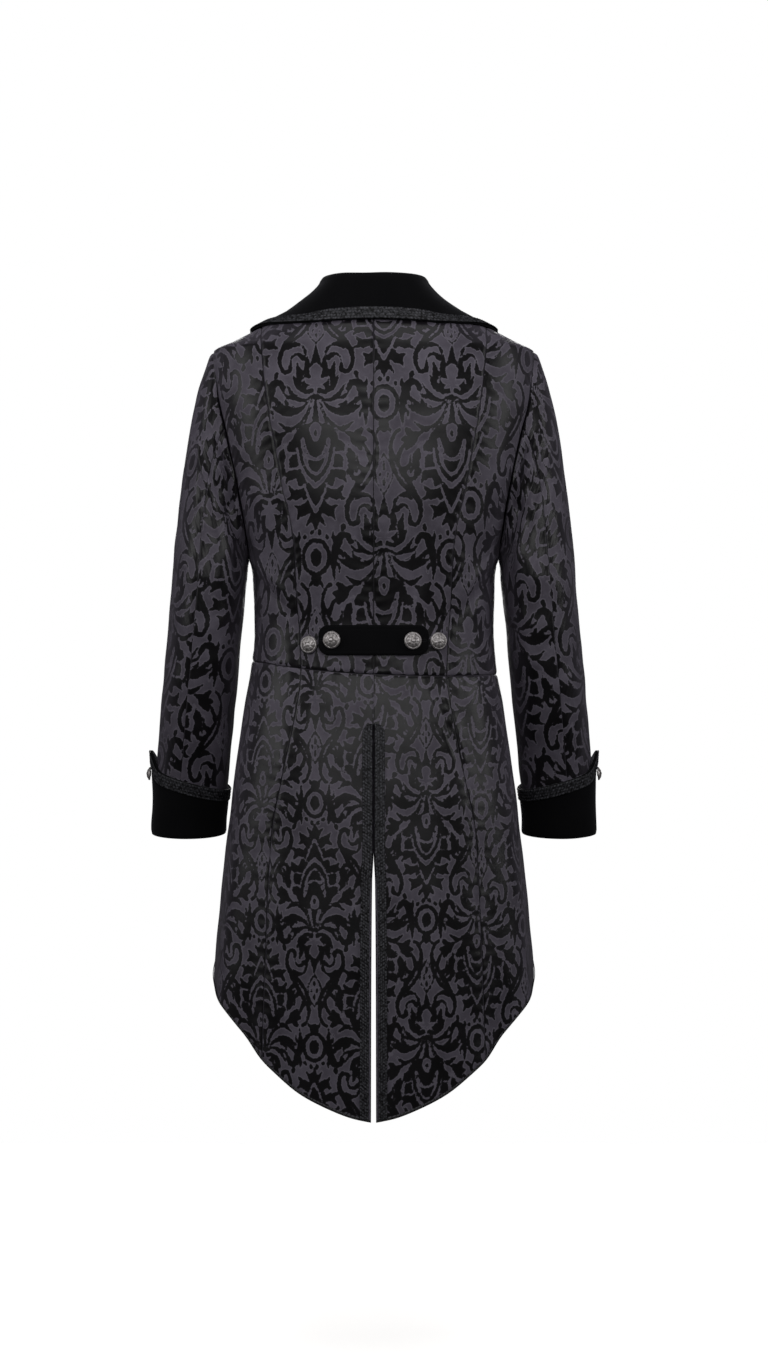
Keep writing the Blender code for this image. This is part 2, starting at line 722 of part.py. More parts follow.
def make_body(side, word):
    body_panel(f"back_centre_{word}", back_centre_panel(side), side)
    body_panel(f"back_side_{word}", back_side_panel(side), side)
    body_panel(f"front_{word}", front_panel(side), side)
    tail, tail_normals = body_panel(f"tail_back_{word}", tail_back_panel(side), side)
    skirt, skirt_normals = body_panel(f"tail_side_{word}", tail_side_panel(side), side)
    down = skirt_rows()
    level = WAIST_CENTRE + (hem_height(0.0) - WAIST_CENTRE) * down
    first = int(np.searchsorted(-level, -VENT_TOP))
    strip(
        f"vent_braid_{word}",
        tail[:2, first:-1],
        tail_normals[:2, first:-1],
        side,
        BRAID,
        BRAIDED_CORD,
        (("first", 0), ("last", 1)),
    )
    hem = np.concatenate([tail[:, -2:], skirt[1:, -2:]])
    hem_normals = np.concatenate([tail_normals[:, -2:], skirt_normals[1:, -2:]])
    strip(f"hem_binding_{word}", hem, hem_normals, side, BINDING, BOUND_EDGE, (("first", 0),))
    strip(
        f"cutaway_binding_{word}",
        skirt[-2:, :-1],
        skirt_normals[-2:, :-1],
        side,
        BINDING,
        BOUND_EDGE,
        (("first", 1), ("last", 1)),
    )


def make_sleeve(side, word):
    """The upper and under sleeve, cut at the hind-arm seam and the fore-arm seam."""
    way = np.concatenate([HEAD_STEPS, np.linspace(1, 2, ARM_ROWS + 1)])
    upper = np.linspace(SEAM_FRONT, SEAM_BACK, SLEEVE_AROUND // 2 + 1)[:, None]
    under = np.linspace(SEAM_BACK, SEAM_FRONT + 2 * math.pi, SLEEVE_AROUND // 2 + 1)[:, None]
    for part, turn in (("upper", upper), ("under", under)):
        points, normals = creased_sleeve(turn, way)
        outer, inner = drawn_in(points, points - normals * CLOTH, ALL_EDGES[:2], gap=SEAM)
        outer, inner = drawn_in(outer, inner, (("first", 1),), gap=2 * SEAM)
        wall(f"sleeve_{part}_{word}", mirrored(outer, side), mirrored(inner, side), DAMASK)


def make_cuff(side, word):
    near = np.array(CUFF_CLOSE_TURNS)
    far = np.linspace(CUFF_WIDE_TURN, 2 * math.pi - CUFF_WIDE_TURN, 14)
    turn = np.concatenate([near, far, 2 * math.pi - near[:0:-1]])
    points, normals = cuff_grid(turn)
    inner = points - normals * VELVET
    wall(f"cuff_{word}", mirrored(points, side), mirrored(inner, side), VELVET_PILE, closed=True)
    top, top_normals = points[:, -2:], normals[:, -2:]
    strip(f"cuff_braid_{word}", top, top_normals, side, BRAID, BRAIDED_CORD, closed=True)
    z = np.array(CUFF_END + cuff_rise(0.0) - BRAID_WIDTH - CUFF_BUTTON_RADIUS - 6)
    way = 1 + (z - ARM_TOP) / (SLEEVE_END - ARM_TOP)
    turn = np.array(CUFF_BUTTON_TURN)
    normal = sleeve_normal(turn, way)
    lift = CUFF_GAP + VELVET + CUFF_FLARE * (float(z - CUFF_END) / CUFF_HIGHEST) ** 3 + 1.5 * REST
    place = sleeve(turn, way) + normal * lift
    make_button(f"cuff_button_{word}", mirrored(place, side), mirrored(normal, side), CUFF_BUTTON_RADIUS)


def grid_normals(points):
    """Normals of a grid of points from its own neighbours."""
    return unit(np.cross(np.gradient(points, axis=0), np.gradient(points, axis=1)))


def make_collar():
    shares = np.array([0, 0.12, 0.30, 0.47, 0.64, 0.82, 1.0])
    half = np.array([0, 0.08, 0.16, 0.24, 0.32, 0.40, 0.48, 0.56, 0.64, 0.72, 0.80, 0.87, 0.94, 1.0])
    places = np.concatenate([-half[:0:-1], half])
    points = collar_grid(places, shares)
    spread = np.linalg.norm(points[:, -1] - points[:, -2], axis=-1, keepdims=True)
    points[:, -2] = points[:, -1] + (points[:, -2] - points[:, -1]) / spread * BRAID_WIDTH
    normals = grid_normals(points)
    normals *= np.sign((normals[:, -3:, 2]).mean())
    wall("collar", points, points - normals * VELVET, VELVET_PILE)
    strip("collar_braid", points[:, -2:], normals[:, -2:], LEFT, BRAID, BRAIDED_CORD)


def make_lapel(side, word):
    flat = lapel_grid(side)
    x, z = flat[..., 0], flat[..., 1]
    points = on_front(x, z, np.full_like(x, LAPEL_LIFT + VELVET))
    normals = body_normal(front_angle(x, z), z)
    outer, inner = drawn_in(points, points - normals * VELVET, (("last", 0),))
    wall(f"lapel_{word}", mirrored(outer, side), mirrored(inner, side), VELVET_PILE)
    strip(f"lapel_braid_{word}", points[:, -2:], normals[:, -2:], side, BRAID, BRAIDED_CORD, (("last", 0),))


def make_belt():
    """The half belt across the small of the back, with rounded corners."""
    corner = np.array([0, 1.2, 4, 8, BELT_CORNER])
    ends = BELT_HALF_LENGTH - corner
    x = np.concatenate([-ends, np.linspace(-ends[-1], ends[-1], 7)[1:-1], ends[::-1]])[:, None]
    inset = np.clip(np.abs(x) - (BELT_HALF_LENGTH - BELT_CORNER), 0, BELT_CORNER)
    half = BELT_HALF_WIDTH - BELT_CORNER + np.sqrt(BELT_CORNER**2 - inset**2)
    z = BELT_HEIGHT + half * np.array([-1, -0.33, 0.33, 1])
    x = x + 0 * z
    angle = back_angle(x, z)
    strip("half_belt", body(angle, z), body_normal(angle, z), LEFT, BELT, VELVET_PILE, lift=BELT_REST)


def make_button(name, place, normal, radius):
    """A domed pewter button, turned about its own axis, on a short shank."""
    profile = (
        (0.0, 0.70 * radius),
        (0.42 * radius, 0.62 * radius),
        (0.76 * radius, 0.45 * radius),
        (0.96 * radius, 0.26 * radius),
        (1.0 * radius, 0.18 * radius),
        (0.92 * radius, 0.10 * radius),
        (0.38 * radius, 0.10 * radius),
        (0.38 * radius, 0.0),
        (0.0, 0.0),
    )
    mesh = bpy.data.meshes.new(name)
    points = [(r * MILLIMETRE, 0, h * MILLIMETRE) for r, h in profile]
    mesh.from_pydata(points, [(i, i + 1) for i in range(len(points) - 1)], [])
    button = add_object(name, mesh, PEWTER)
    turn = button.modifiers.new("turned", "SCREW")
    turn.steps = turn.render_steps = 14
    turn.use_merge_vertices = True
    turn.merge_threshold = 0.00005
    facing = Vector(normal).to_track_quat("Z", "Y").to_matrix().to_4x4()
    button.matrix_world = Matrix.Translation(Vector(place * MILLIMETRE)) @ facing
    return button


def make_back_and_front_buttons():
    for name, x, z, on_belt in BELT_BUTTONS:
        angle, height = back_angle(np.array(x), np.array(z)), np.array(z)
        normal = body_normal(angle, height)
        lift = REST + (BELT_REST + BELT if on_belt else REST)
        make_button(name, body(angle, height) + normal * lift, normal, BUTTON_RADIUS)
    for number, z in enumerate(FRONT_BUTTON_HEIGHTS, 1):
        place = on_front(np.array(-1.0), np.array(z), REST + 0.2)
        normal = body_normal(front_angle(np.array(-1.0), np.array(z)), np.array(z))
        make_button(f"front_button_{number}", place, normal, BUTTON_RADIUS)


def main():
    for old in list(bpy.data.objects):
        bpy.data.objects.remove(old, do_unlink=True)
    parts = bpy.data.collections.new("tailcoat")
    bpy.context.scene.collection.children.link(parts)
    for side, word in SIDES:
        make_body(side, word)
        make_sleeve(side, word)
        make_cuff(side, word)
        make_lapel(side, word)
    make_collar()
    make_belt()
    make_back_and_front_buttons()


main()
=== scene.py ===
"""A damask tailcoat with velvet collar, lapels, cuffs and half belt, as finished cloth.

Each visible piece is a surface worked out from two numbers, one across it and one down it, on the
same body, sleeve and collar forms as the solids. Lengths in the tables and shape functions are
millimetres, and the mesh builder turns them to metres. The wearer faces -Y, the left sleeve is at
+X, and height 0 is where the shoulder seam meets the neck.
"""

import math

import bpy
import numpy as np
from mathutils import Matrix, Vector


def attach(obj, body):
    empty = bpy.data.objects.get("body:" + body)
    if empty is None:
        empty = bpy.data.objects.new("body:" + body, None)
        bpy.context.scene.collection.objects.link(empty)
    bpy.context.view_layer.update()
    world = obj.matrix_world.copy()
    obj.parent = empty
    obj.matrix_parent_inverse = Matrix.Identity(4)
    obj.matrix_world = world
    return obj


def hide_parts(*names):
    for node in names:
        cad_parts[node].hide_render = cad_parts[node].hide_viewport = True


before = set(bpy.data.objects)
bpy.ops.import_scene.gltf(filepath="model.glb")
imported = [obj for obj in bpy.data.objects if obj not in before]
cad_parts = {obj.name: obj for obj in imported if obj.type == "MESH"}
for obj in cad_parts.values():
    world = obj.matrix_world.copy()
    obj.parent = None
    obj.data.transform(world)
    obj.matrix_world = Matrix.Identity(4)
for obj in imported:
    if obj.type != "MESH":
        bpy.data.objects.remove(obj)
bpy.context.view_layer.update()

MILLIMETRE = 0.001
LEFT, RIGHT = 1, -1
SIDES = ((LEFT, "left"), (RIGHT, "right"))

# Thicknesses of velvet and half belt, and the gaps under the belt, at a seam and under a trim.
VELVET = 2.2
BELT = 3.0
BELT_REST = 0.95
SEAM = 0.3
REST = 0.35
# Walls of the pieces as they are drawn, and the swell of a shape's edge where the cloth rolls over.
CLOTH_WALL = 1.5
VELVET_WALL = 1.9
BINDING_WALL = 0.4
BRAID_WALL = 0.5
EDGE_ROUND = 1.6
# The inner side's cells are this many of the outer side's wide, and its figure is off.
INNER_CELL = 8
REVERSE = -3.0
# Small steps along a surface, in radians and millimetres, from which its normals are worked out.
TURN_STEP = 1e-3
RISE_STEP = 0.4
WAY_STEP = 1e-3

# Half the girth, the back's depth and the front's depth at each height, round the body's axis.
BODY_COLUMNS = ("height", "half_width", "back", "front")
BODY = (
    (-1100, 226, 137, 124),
    (-911, 215, 132, 122),
    (-858, 211, 130, 121),
    (-750, 200, 125, 119),
    (-643, 187, 118, 116),
    (-540, 172.5, 107, 111),
    (-495, 164, 101, 108),
    (-442, 159.5, 100, 109),
    (-402, 161, 104, 114),
    (-348, 165.5, 111, 121),
    (-308, 177, 115, 124),
    (-255, 192, 119, 126),
    (-188, 209, 119, 123),
    (-134, 218, 113, 115),
    (-95, 217, 104, 104),
    (-71, 214, 97, 96),
    (-60, 193, 92, 91),
    (-38, 150, 80, 80),
    (-15, 105, 65, 67),
    (0, 75, 60, 62),
    (40, 60, 55, 56),
)
SQUARENESS = 2.3
SKIRT_LENGTH = 480.0

# Soft flutes of the skirt. Columns: angle round the body, spread, rise at the hem.
FLUTES = (
    (0.36, 0.14, 3.5),
    (0.78, 0.13, -4.5),
    (1.12, 0.15, 5.0),
    (1.95, 0.16, -5.0),
    (2.30, 0.17, 5.0),
)

NECK_HALF_WIDTH = 75.0
BACK_NECK_DROP = 14.0
SHOULDER_TIP = -71.0
ARMPIT = -348.0
ARMHOLE_BACK = 54.0
ARMHOLE_FRONT = 58.0
SIDE_SEAM_FORWARD = 0.06
SIDE_SEAM_EASED = 60.0

# The waist seam dips at the centre back and lies a little higher on the wearer's left.
WAIST_CENTRE = -501.5
WAIST_SIDE_RISE = 9.0
WAIST_TILT = 9.0

# How far the side-back seam and the tail seam are from the centre back at each height.
PRINCESS_TOP = -38.0
PRINCESS_COLUMNS = ("height", "distance")
PRINCESS = (
    (-520, 94),
    (-459, 97),
    (-402, 101),
    (-345, 103.5),
    (-308, 108.5),
    (-270, 118),
    (-209, 129),
    (-150, 139),
    (-90, 146),
    (-38, 150),
)
TAIL_SEAM = (
    (-1100, 150),
    (-981, 146),
    (-845, 141),
    (-716, 134),
    (-638, 119),
    (-560, 103),
    (-500, 94.5),
    (-470, 94),
)
TAIL_SEAM_START = 0.5
TAIL_SEAM_TURNS = 6

# The centre vent opens below the seam, shut at first and then parted.
VENT_TOP = -566.0
VENT_COLUMNS = ("height", "half_gap")
VENT = (
    (-1100, 3.6),
    (-900, 3.1),
    (-770, 2.1),
    (-730, 0.3),
    (-560, 0.25),
    (-480, 0.15),
)
# The vent's narrow dark edge, partly its own black and partly painted shadow of the slit, its line of
# stitches, the length of the braid's round head, and where the vent parts.
VENT_EDGE = 2.9
VENT_EDGE_SHUT = 1.5
VENT_STITCHES = (2.0, 2.9)
VENT_HEAD = 13.0
VENT_PARTS = -750.0
VENT_GROOVE = 2.4
VENT_EASED = 10.0
VENT_EDGE_GROWS = 40.0
VENT_ROWS = 500
HEAD_NARROWEST = 0.08

# The hem falls to the tails' points at the centre back and is cut away to the waist in front.
HEM_COLUMNS = ("angle", "height")
HEM = (
    (0.0, -1076),
    (0.09, -1070.5),
    (0.184, -1062),
    (0.354, -1043),
    (0.555, -1016),
    (0.711, -995),
    (0.868, -967),
    (1.076, -937),
    (1.263, -917),
    (1.45, -903),
    (1.571, -893),
    (1.80, -859),
    (2.10, -788),
    (2.40, -690),
    (2.65, -605),
    (2.85, -550),
    (3.00, -518),
    (3.10, -508),
)
CUTAWAY_TOP = 3.0
CUTAWAY_CORNER = 1.62
CUTAWAY_CURVE_START = 0.04

# The gorge's lower end, where the lapel's roll line meets it, as distance and height. Then the
# front's inner edge, from the hem of the front up. Columns: height, distance.
GORGE = (60.0, -28.0)
FRONT_EDGE = ((-560, -20), (-300, -20), (-28, 60), (0, 75))
UNDERLAP_SINK = 3.2
UNDERLAP_FROM = 44.0
UNDERLAP_TO = 21.0
UNDERLAP_LOW = -620.0
UNDERLAP_FADE = 100.0

# The sleeve below the armpit, section by section.
ARM_COLUMNS = ("height", "centre_x", "centre_y", "half_width", "half_depth")
ARM = (
    (-730, 252.5, -51, 47, 45),
    (-697, 251, -45, 47, 46),
    (-640, 246.5, -33, 49, 50),
    (-590, 241.5, -23, 49.5, 54),
    (-509, 233, -9, 50, 60),
    (-456, 227.5, -3, 49.5, 64),
    (-375, 220, 2, 50, 68),
)
ARM_TOP = -375.0
SLEEVE_END = -704.0
HEAD_OUT = (84.0, 35.0, -110.0)
HEAD_DOWN = (24.0, 0.0, -330.0)
HEAD_FULLNESS = 2.0
HEAD_FULL_WAY = 0.04
HEAD_FULL_RISE = 0.25
HEAD_UNDER_REACH = 0.12
HEAD_REACH_POWER = 0.8
SEAM_BACK = 1.35
SEAM_FRONT = -1.75
# Drag folds of the sleeve. Columns: angle and height of the middle, spread, length, slant, rise.
CREASES = (
    (1.75, -205, 0.16, 60, 0.0075, 3.0),
    (2.10, -262, 0.16, 48, 0.0080, -3.0),
    (2.25, -318, 0.18, 42, 0.0060, 2.6),
    (-2.0, -300, 0.20, 55, -0.0060, 3.0),
    (-1.3, -500, 0.45, 26, 0.0, -3.0),
)

CUFF_END = -717.0
CUFF_TILT = 5.0
CUFF_LOW = 62.0
CUFF_SLANT = 28.0
CUFF_POINT = 22.0
CUFF_POINT_SPREAD = 0.36
CUFF_FLARE = 6.0
CUFF_GAP = 1.6
BRAID_WIDTH = 16.0
VENT_BRAID_WIDTH = 14.5
BINDING_WIDTH = 4.5

# The collar: the neck seam on the body, the top of the fold and the outer edge.
COLLAR_COLUMNS = ("place", "seam_x", "seam_z", "fold_x", "fold_y", "fold_z", "edge_x", "edge_y", "edge_z")
COLLAR = (
    (0.00, 0, -14, 0, 69, 24.5, 0, 85, -38.5),
    (0.22, 40, -10, 35, 62, 25.5, 60, 82, -40),
    (0.42, 64, -4, 58, 37, 27.5, 118, 60, -44),
    (0.60, 75, 0, 67, 0, 30, 165, 2, -43),
    (0.80, 72.5, -8, 65, -43, 18, 163, -46, -57),
    (1.00, 63.5, -22.5, 62, -75, -15, 134, -84, -62),
)
COLLAR_SHOULDER = 0.60
COLLAR_ROLL = 5.0
COLLAR_LIFT = 1.6
CLEARING_TURNS = 5
CLEARING_STEP = 0.2
NOTCH = (96.0, -66.0)
NOTCH_SHARE = 0.47
LAPEL_EDGE = ((-20.0, -300.0), (55.0, -285.0), (125.0, -215.0), (150.0, -98.0))
LAPEL_LIFT = 1.5
# Where the lapel's edge starts to show, and where its roll line starts. The right one is partly
# covered by the left front.
LAPEL_START = {LEFT: 0.05, RIGHT: 0.19}
LAPEL_ROLL = {LEFT: (-19.5, -297.0), RIGHT: (2.5, -238.0)}
LAPEL_SHARES = (0, 0.27, 0.52, 0.76, 1.0)
LAPEL_ROWS = 9
LAPEL_TOP_ROW = 0.06
LAPEL_BRAID_MOST = 0.55
GORGE_GAP = 2.2
# How the fall swings out and down from its fold: powers at the back, and what the shoulder adds.
FALL_OUT = (0.65, 0.55)
FALL_DOWN = (1.05, -0.18)

BELT_HEIGHT = -457.5
BELT_HALF_LENGTH = 71.0
BELT_HALF_WIDTH = 19.5
BELT_CORNER = 13.0
BUTTON_RADIUS = 11.5
CUFF_BUTTON_RADIUS = 9.0
# Belt buttons: distance to the wearer's left of the centre, height, and whether velvet is beneath.
BELT_BUTTONS = (
    ("belt_button_outer_left", 83.5, -463.5, False),
    ("belt_button_inner_left", 53.5, -457.5, True),
    ("belt_button_inner_right", -50.0, -458.5, True),
    ("belt_button_outer_right", -83.5, -458.8, False),
)
FRONT_BUTTON_HEIGHTS = (-318.0, -392.0, -466.0)


def smooth(x, points, values):
    """The curve through a table's points that never swings past them (monotone cubic)."""
    x, points, values = (np.asarray(a, float) for a in (x, points, values))
    step = np.diff(points)
    slope = np.diff(values) / step
    tangent = np.empty(len(points))
    tangent[0], tangent[-1] = slope[0], slope[-1]
    both = slope[:-1] * slope[1:]
    total = slope[:-1] + slope[1:]
    tangent[1:-1] = np.where(both > 0, 2 * both / np.where(total == 0, 1, total), 0)
    i = np.clip(np.searchsorted(points, x) - 1, 0, len(step) - 1)
    u = np.clip((x - points[i]) / step[i], 0, 1)
    rise = step[i] * (u * (1 - u) ** 2 * tangent[i] - u * u * (1 - u) * tangent[i + 1])
    return values[i] + u * u * (3 - 2 * u) * (values[i + 1] - values[i]) + rise


def read(rows, columns, name, key):
    """One named column of a table, read at key by a smooth curve over the first column."""
    table = np.array(rows, float)
    return smooth(key, table[:, 0], table[:, columns.index(name)])


def ease(u):
    """A smooth step from 0 to 1, level at both ends."""
    u = np.clip(u, 0, 1)
    return u * u * (3 - 2 * u)


def unit(v):
    """Each vector at length one."""
    return v / np.maximum(np.linalg.norm(v, axis=-1, keepdims=True), 1e-9)


def body_sizes(z):
    """Half width, back depth and front depth of the body at each height."""
    return tuple(read(BODY, BODY_COLUMNS, name, z) for name in BODY_COLUMNS[1:])


def body(angle, z):
    """A point of the coat's outer side: angle 0 is the centre back and pi the centre front.

    Each level is a rounded square, its x a power of the sine and its y a power of the cosine.
    """
    angle, z = np.broadcast_arrays(np.asarray(angle, float), np.asarray(z, float))
    half_width, back, front = body_sizes(z)
    s, c = np.sin(angle), np.cos(angle)
    power = 2 / SQUARENESS
    skirt = ease((WAIST_CENTRE - z) / SKIRT_LENGTH)
    fold = sum(r * np.exp(-(((angle - a) / w) ** 2)) for a, w, r in FLUTES) * skirt
    x = (half_width + fold) * np.sign(s) * np.abs(s) ** power
    y = (np.where(c >= 0, back, front) + fold) * np.sign(c) * np.abs(c) ** power
    return np.stack([x, y, z], -1)


def body_normal(angle, z):
    """The body's outward normal, from small steps round it and up it."""
    turn = body(angle + TURN_STEP, z) - body(angle - TURN_STEP, z)
    up = body(angle, z + RISE_STEP) - body(angle, z - RISE_STEP)
    return unit(np.cross(up, turn))


def back_angle(x, z):
    """The angle at which the back half is x from the centre."""
    share = np.clip(np.abs(x) / body_sizes(z)[0], 0, 1)
    return np.sign(x) * np.arcsin(share ** (SQUARENESS / 2))


def front_angle(x, z):
    """The angle at which the front half is x from the centre."""
    return math.pi - back_angle(x, z)


def side_angle(depth, half_depth):
    """The angle, from the middle of its own half, at which the body is that far from its side."""
    share = np.clip(depth / half_depth, 0, 1)
    return np.arccos(share ** (SQUARENESS / 2))


def waist_height(angle, side):
    """The waist seam: lowest at the centre back, and tilted up to the wearer's left."""
    turn = np.sin(angle)
    return WAIST_CENTRE + WAIST_SIDE_RISE * turn * turn + side * WAIST_TILT * turn


def hem_height(angle):
    """The height of the hem at each angle."""
    return read(HEM, HEM_COLUMNS, "height", angle)


def armhole_depth(z, widest):
    """Half the armhole's width at each height, which is an ellipse from shoulder tip to armpit."""
    middle, half = (SHOULDER_TIP + ARMPIT) / 2, (SHOULDER_TIP - ARMPIT) / 2
    return widest * np.sqrt(np.clip(1 - ((z - middle) / half) ** 2, 0, 1))


def outer_edge(side, down, back):
    """The armhole's edge and the side seam below it, as angles and heights from the tip down."""
    low = waist_height(math.pi / 2, side)
    z = SHOULDER_TIP + (low - SHOULDER_TIP) * down
    _, back_depth, front_depth = body_sizes(z)
    widest = ARMHOLE_BACK if back else ARMHOLE_FRONT
    reach = armhole_depth(z, widest)
    turn = side_angle(reach, back_depth if back else front_depth)
    angle = turn if back else math.pi - turn
    below = ease((ARMPIT - z) / SIDE_SEAM_EASED) * SIDE_SEAM_FORWARD
    return np.where(z < ARMPIT, math.pi / 2 + below, angle), z


def tail_seam_line(side, down):
    """The tail seam from waist to hem: its angle and height are settled against each other in turns."""
    angle = np.full_like(down, TAIL_SEAM_START)
    for _ in range(TAIL_SEAM_TURNS):
        z = waist_height(angle, side) + (hem_height(angle) - waist_height(angle, side)) * down
        angle = back_angle(read(TAIL_SEAM, PRINCESS_COLUMNS, "distance", z), z)
    return angle, z


def armhole(turn):
    """A point of the armhole's edge: turn 0 is the shoulder tip, and a quarter turn the back."""
    middle, half = (SHOULDER_TIP + ARMPIT) / 2, (SHOULDER_TIP - ARMPIT) / 2
    z = middle + half * np.cos(turn)
    half_width, back, front = body_sizes(z)
    s = np.sin(turn)
    y = np.where(s >= 0, ARMHOLE_BACK, ARMHOLE_FRONT) * s
    depth = np.where(s >= 0, back, front)
    x = half_width * (1 - (np.abs(y) / depth) ** SQUARENESS) ** (1 / SQUARENESS)
    return np.stack([x, y, z], -1)


def arm(turn, z):
    """A point of the sleeve below the armpit: turn 0 is the outer side."""
    cx, cy, a, b = (read(ARM, ARM_COLUMNS, name, z) for name in ARM_COLUMNS[1:])
    return np.stack([cx + a * np.cos(turn), cy + b * np.sin(turn), z + 0 * turn], -1)


def sleeve(turn, way):
    """The sleeve's outer side: way 0 to 1 is the head, from the armhole, and 1 to 2 the arm."""
    turn, way = np.broadcast_arrays(np.asarray(turn, float), np.asarray(way, float))
    outer = ((1 + np.cos(turn)) / 2)[..., None]
    reach = HEAD_UNDER_REACH + (1 - HEAD_UNDER_REACH) * outer**HEAD_REACH_POWER
    out = np.stack([0 * turn + HEAD_OUT[0], HEAD_OUT[1] * np.sin(turn), 0 * turn + HEAD_OUT[2]], -1)
    u = np.clip(way, 0, 1)[..., None]
    start, end = armhole(turn), arm(turn, np.full_like(turn, ARM_TOP))
    head = (1 + 2 * u) * (1 - u) ** 2 * start + u * (1 - u) ** 2 * reach * out
    head = head + u * u * (3 - 2 * u) * end - u * u * (1 - u) * reach * np.array(HEAD_DOWN)
    along = u / HEAD_FULL_WAY
    head = head + HEAD_FULLNESS * along * np.exp(1 - along) * outer**3 * np.array([1, 0, HEAD_FULL_RISE])
    low = arm(turn, ARM_TOP + (SLEEVE_END - ARM_TOP) * np.clip(way - 1, 0, 2))
    return np.where((way < 1)[..., None], head, low)


def sleeve_normal(turn, way):
    """The sleeve's outward normal, from small steps round it and along it."""
    around = sleeve(turn + TURN_STEP, way) - sleeve(turn - TURN_STEP, way)
    inside = np.maximum(way, WAY_STEP)
    along = sleeve(turn, inside + WAY_STEP) - sleeve(turn, inside - WAY_STEP)
    return unit(np.cross(around, along) * -1)


def creased_sleeve(turn, way, creases, folds_more):
    """The sleeve with its drag folds, each a bell across and along a slanting line.

    Going down, a fold of negative slant runs towards the body. The main creases die out well before
    the armhole and the others run close up to it.
    """
    points, normals = sleeve(turn, way), sleeve_normal(turn, way)
    place = points[..., 2]
    lift = np.zeros_like(place)
    for table, freed in ((creases, 4), (folds_more, 14)):
        free = ease(np.clip(way, 0, 1) * freed)
        for angle, height, spread, length, slant, rise in table:
            down = place - height
            across = (np.remainder(turn - angle - slant * down + math.pi, 2 * math.pi) - math.pi) / spread
            lift = lift + rise * np.exp(-(across**2) - (down / length) ** 2) * free
    return points + normals * lift[..., None]


def cuff_rise(turn):
    """How high the cuff's upper edge is above its end."""
    off = np.remainder(turn + math.pi, 2 * math.pi) - math.pi
    point = CUFF_POINT * np.exp(-((off / CUFF_POINT_SPREAD) ** 2))
    return CUFF_LOW + CUFF_SLANT * (1 + np.cos(turn)) / 2 + point


def clear_of_body(points, clearance):
    """Moves points that are nearer to the body than the clearance straight out of it."""

    def share(p):
        """How far out of the body's level a point is, as a share of its size."""
        half_width, back, front = body_sizes(p[..., 2])
        depth = np.where(p[..., 1] >= 0, back, front)
        total = (np.abs(p[..., 0]) / half_width) ** SQUARENESS + (np.abs(p[..., 1]) / depth) ** SQUARENESS
        return total ** (1 / SQUARENESS) - 1

    steps = np.eye(3) * CLEARING_STEP
    for _ in range(CLEARING_TURNS):
        slope = np.stack([share(points + e) - share(points - e) for e in steps], -1) / (2 * CLEARING_STEP)
        steep = np.linalg.norm(slope, axis=-1)
        short = np.maximum(clearance - share(points) / steep, 0)
        points = points + slope / steep[..., None] * short[..., None]
    return points


def on_front(x, z, lift):
    """A point at that distance and height on the front, lifted off the cloth."""
    angle = front_angle(x, z)
    return body(angle, z) + body_normal(angle, z) * np.asarray(lift)[..., None]


def gorge_line(share):
    """The seam between collar and lapel, then the notch's corner, as distances and heights."""
    u = np.clip(share / NOTCH_SHARE, 0, 1)
    return GORGE[0] + (NOTCH[0] - GORGE[0]) * u, GORGE[1] + (NOTCH[1] - GORGE[1]) * u


def collar_grid(places, shares):
    """The collar from its neck seam over the fold to its outer edge. Places run right to left."""
    table = np.array(COLLAR, float)
    mirror = table[:0:-1].copy()
    mirror[:, [0, 1, 3, 6]] *= -1
    whole = np.vstack([mirror, table])
    get = {name: smooth(places, whole[:, 0], whole[:, i]) for i, name in enumerate(COLLAR_COLUMNS)}
    ahead = np.abs(places) > COLLAR_SHOULDER
    seam_x, seam_z = get["seam_x"], get["seam_z"]
    seam_angle = np.where(ahead, front_angle(seam_x, seam_z), back_angle(seam_x, seam_z))
    seam = body(seam_angle, seam_z) + np.array([0, 0, SEAM])
    fold = np.stack([get["fold_x"], get["fold_y"], get["fold_z"]], -1)
    edge = np.stack([get["edge_x"], get["edge_y"], get["edge_z"]], -1)
    out = unit((edge - fold) * np.array([1, 1, 0])) * COLLAR_ROLL
    drop = np.array([0, 0, -COLLAR_ROLL])
    round_back = ease(np.abs(places) / COLLAR_SHOULDER)[:, None]
    start = fold + out + drop
    columns = [seam, (seam + fold - out + drop) / 2, fold - out + drop, fold]
    for share in shares:
        level = share ** (FALL_OUT[0] + FALL_OUT[1] * round_back)
        sink = share ** (FALL_DOWN[0] + FALL_DOWN[1] * round_back)
        reach = edge - start
        columns.append(start + reach * np.concatenate([level, level, sink], 1))
    points = np.stack(columns, 1)
    end = np.clip((np.abs(places) - COLLAR_SHOULDER) / (1 - COLLAR_SHOULDER), 0, 1)[:, None, None] ** 2
    fall_share = np.concatenate([[0, 0, 0, 0], shares])
    sign = np.sign(places)[:, None]
    x, z = gorge_line(fall_share)
    beyond = ease((fall_share - NOTCH_SHARE) / (1 - NOTCH_SHARE))
    tip_x, tip_z = table[-1, 6], table[-1, 8]
    x, z = x + (tip_x - x) * beyond, z + (tip_z - z) * beyond + GORGE_GAP
    front_end = on_front(x, z, np.full_like(x, COLLAR_LIFT + VELVET))
    shift = (front_end - points[-1]) * np.where(fall_share > 0, 1.0, 0.0)[:, None]
    points = points + shift[None] * end * np.stack([sign, sign * 0 + 1, sign * 0 + 1], -1)
    points[:, 4:] = clear_of_body(points[:, 4:], COLLAR_LIFT + VELVET)
    return points


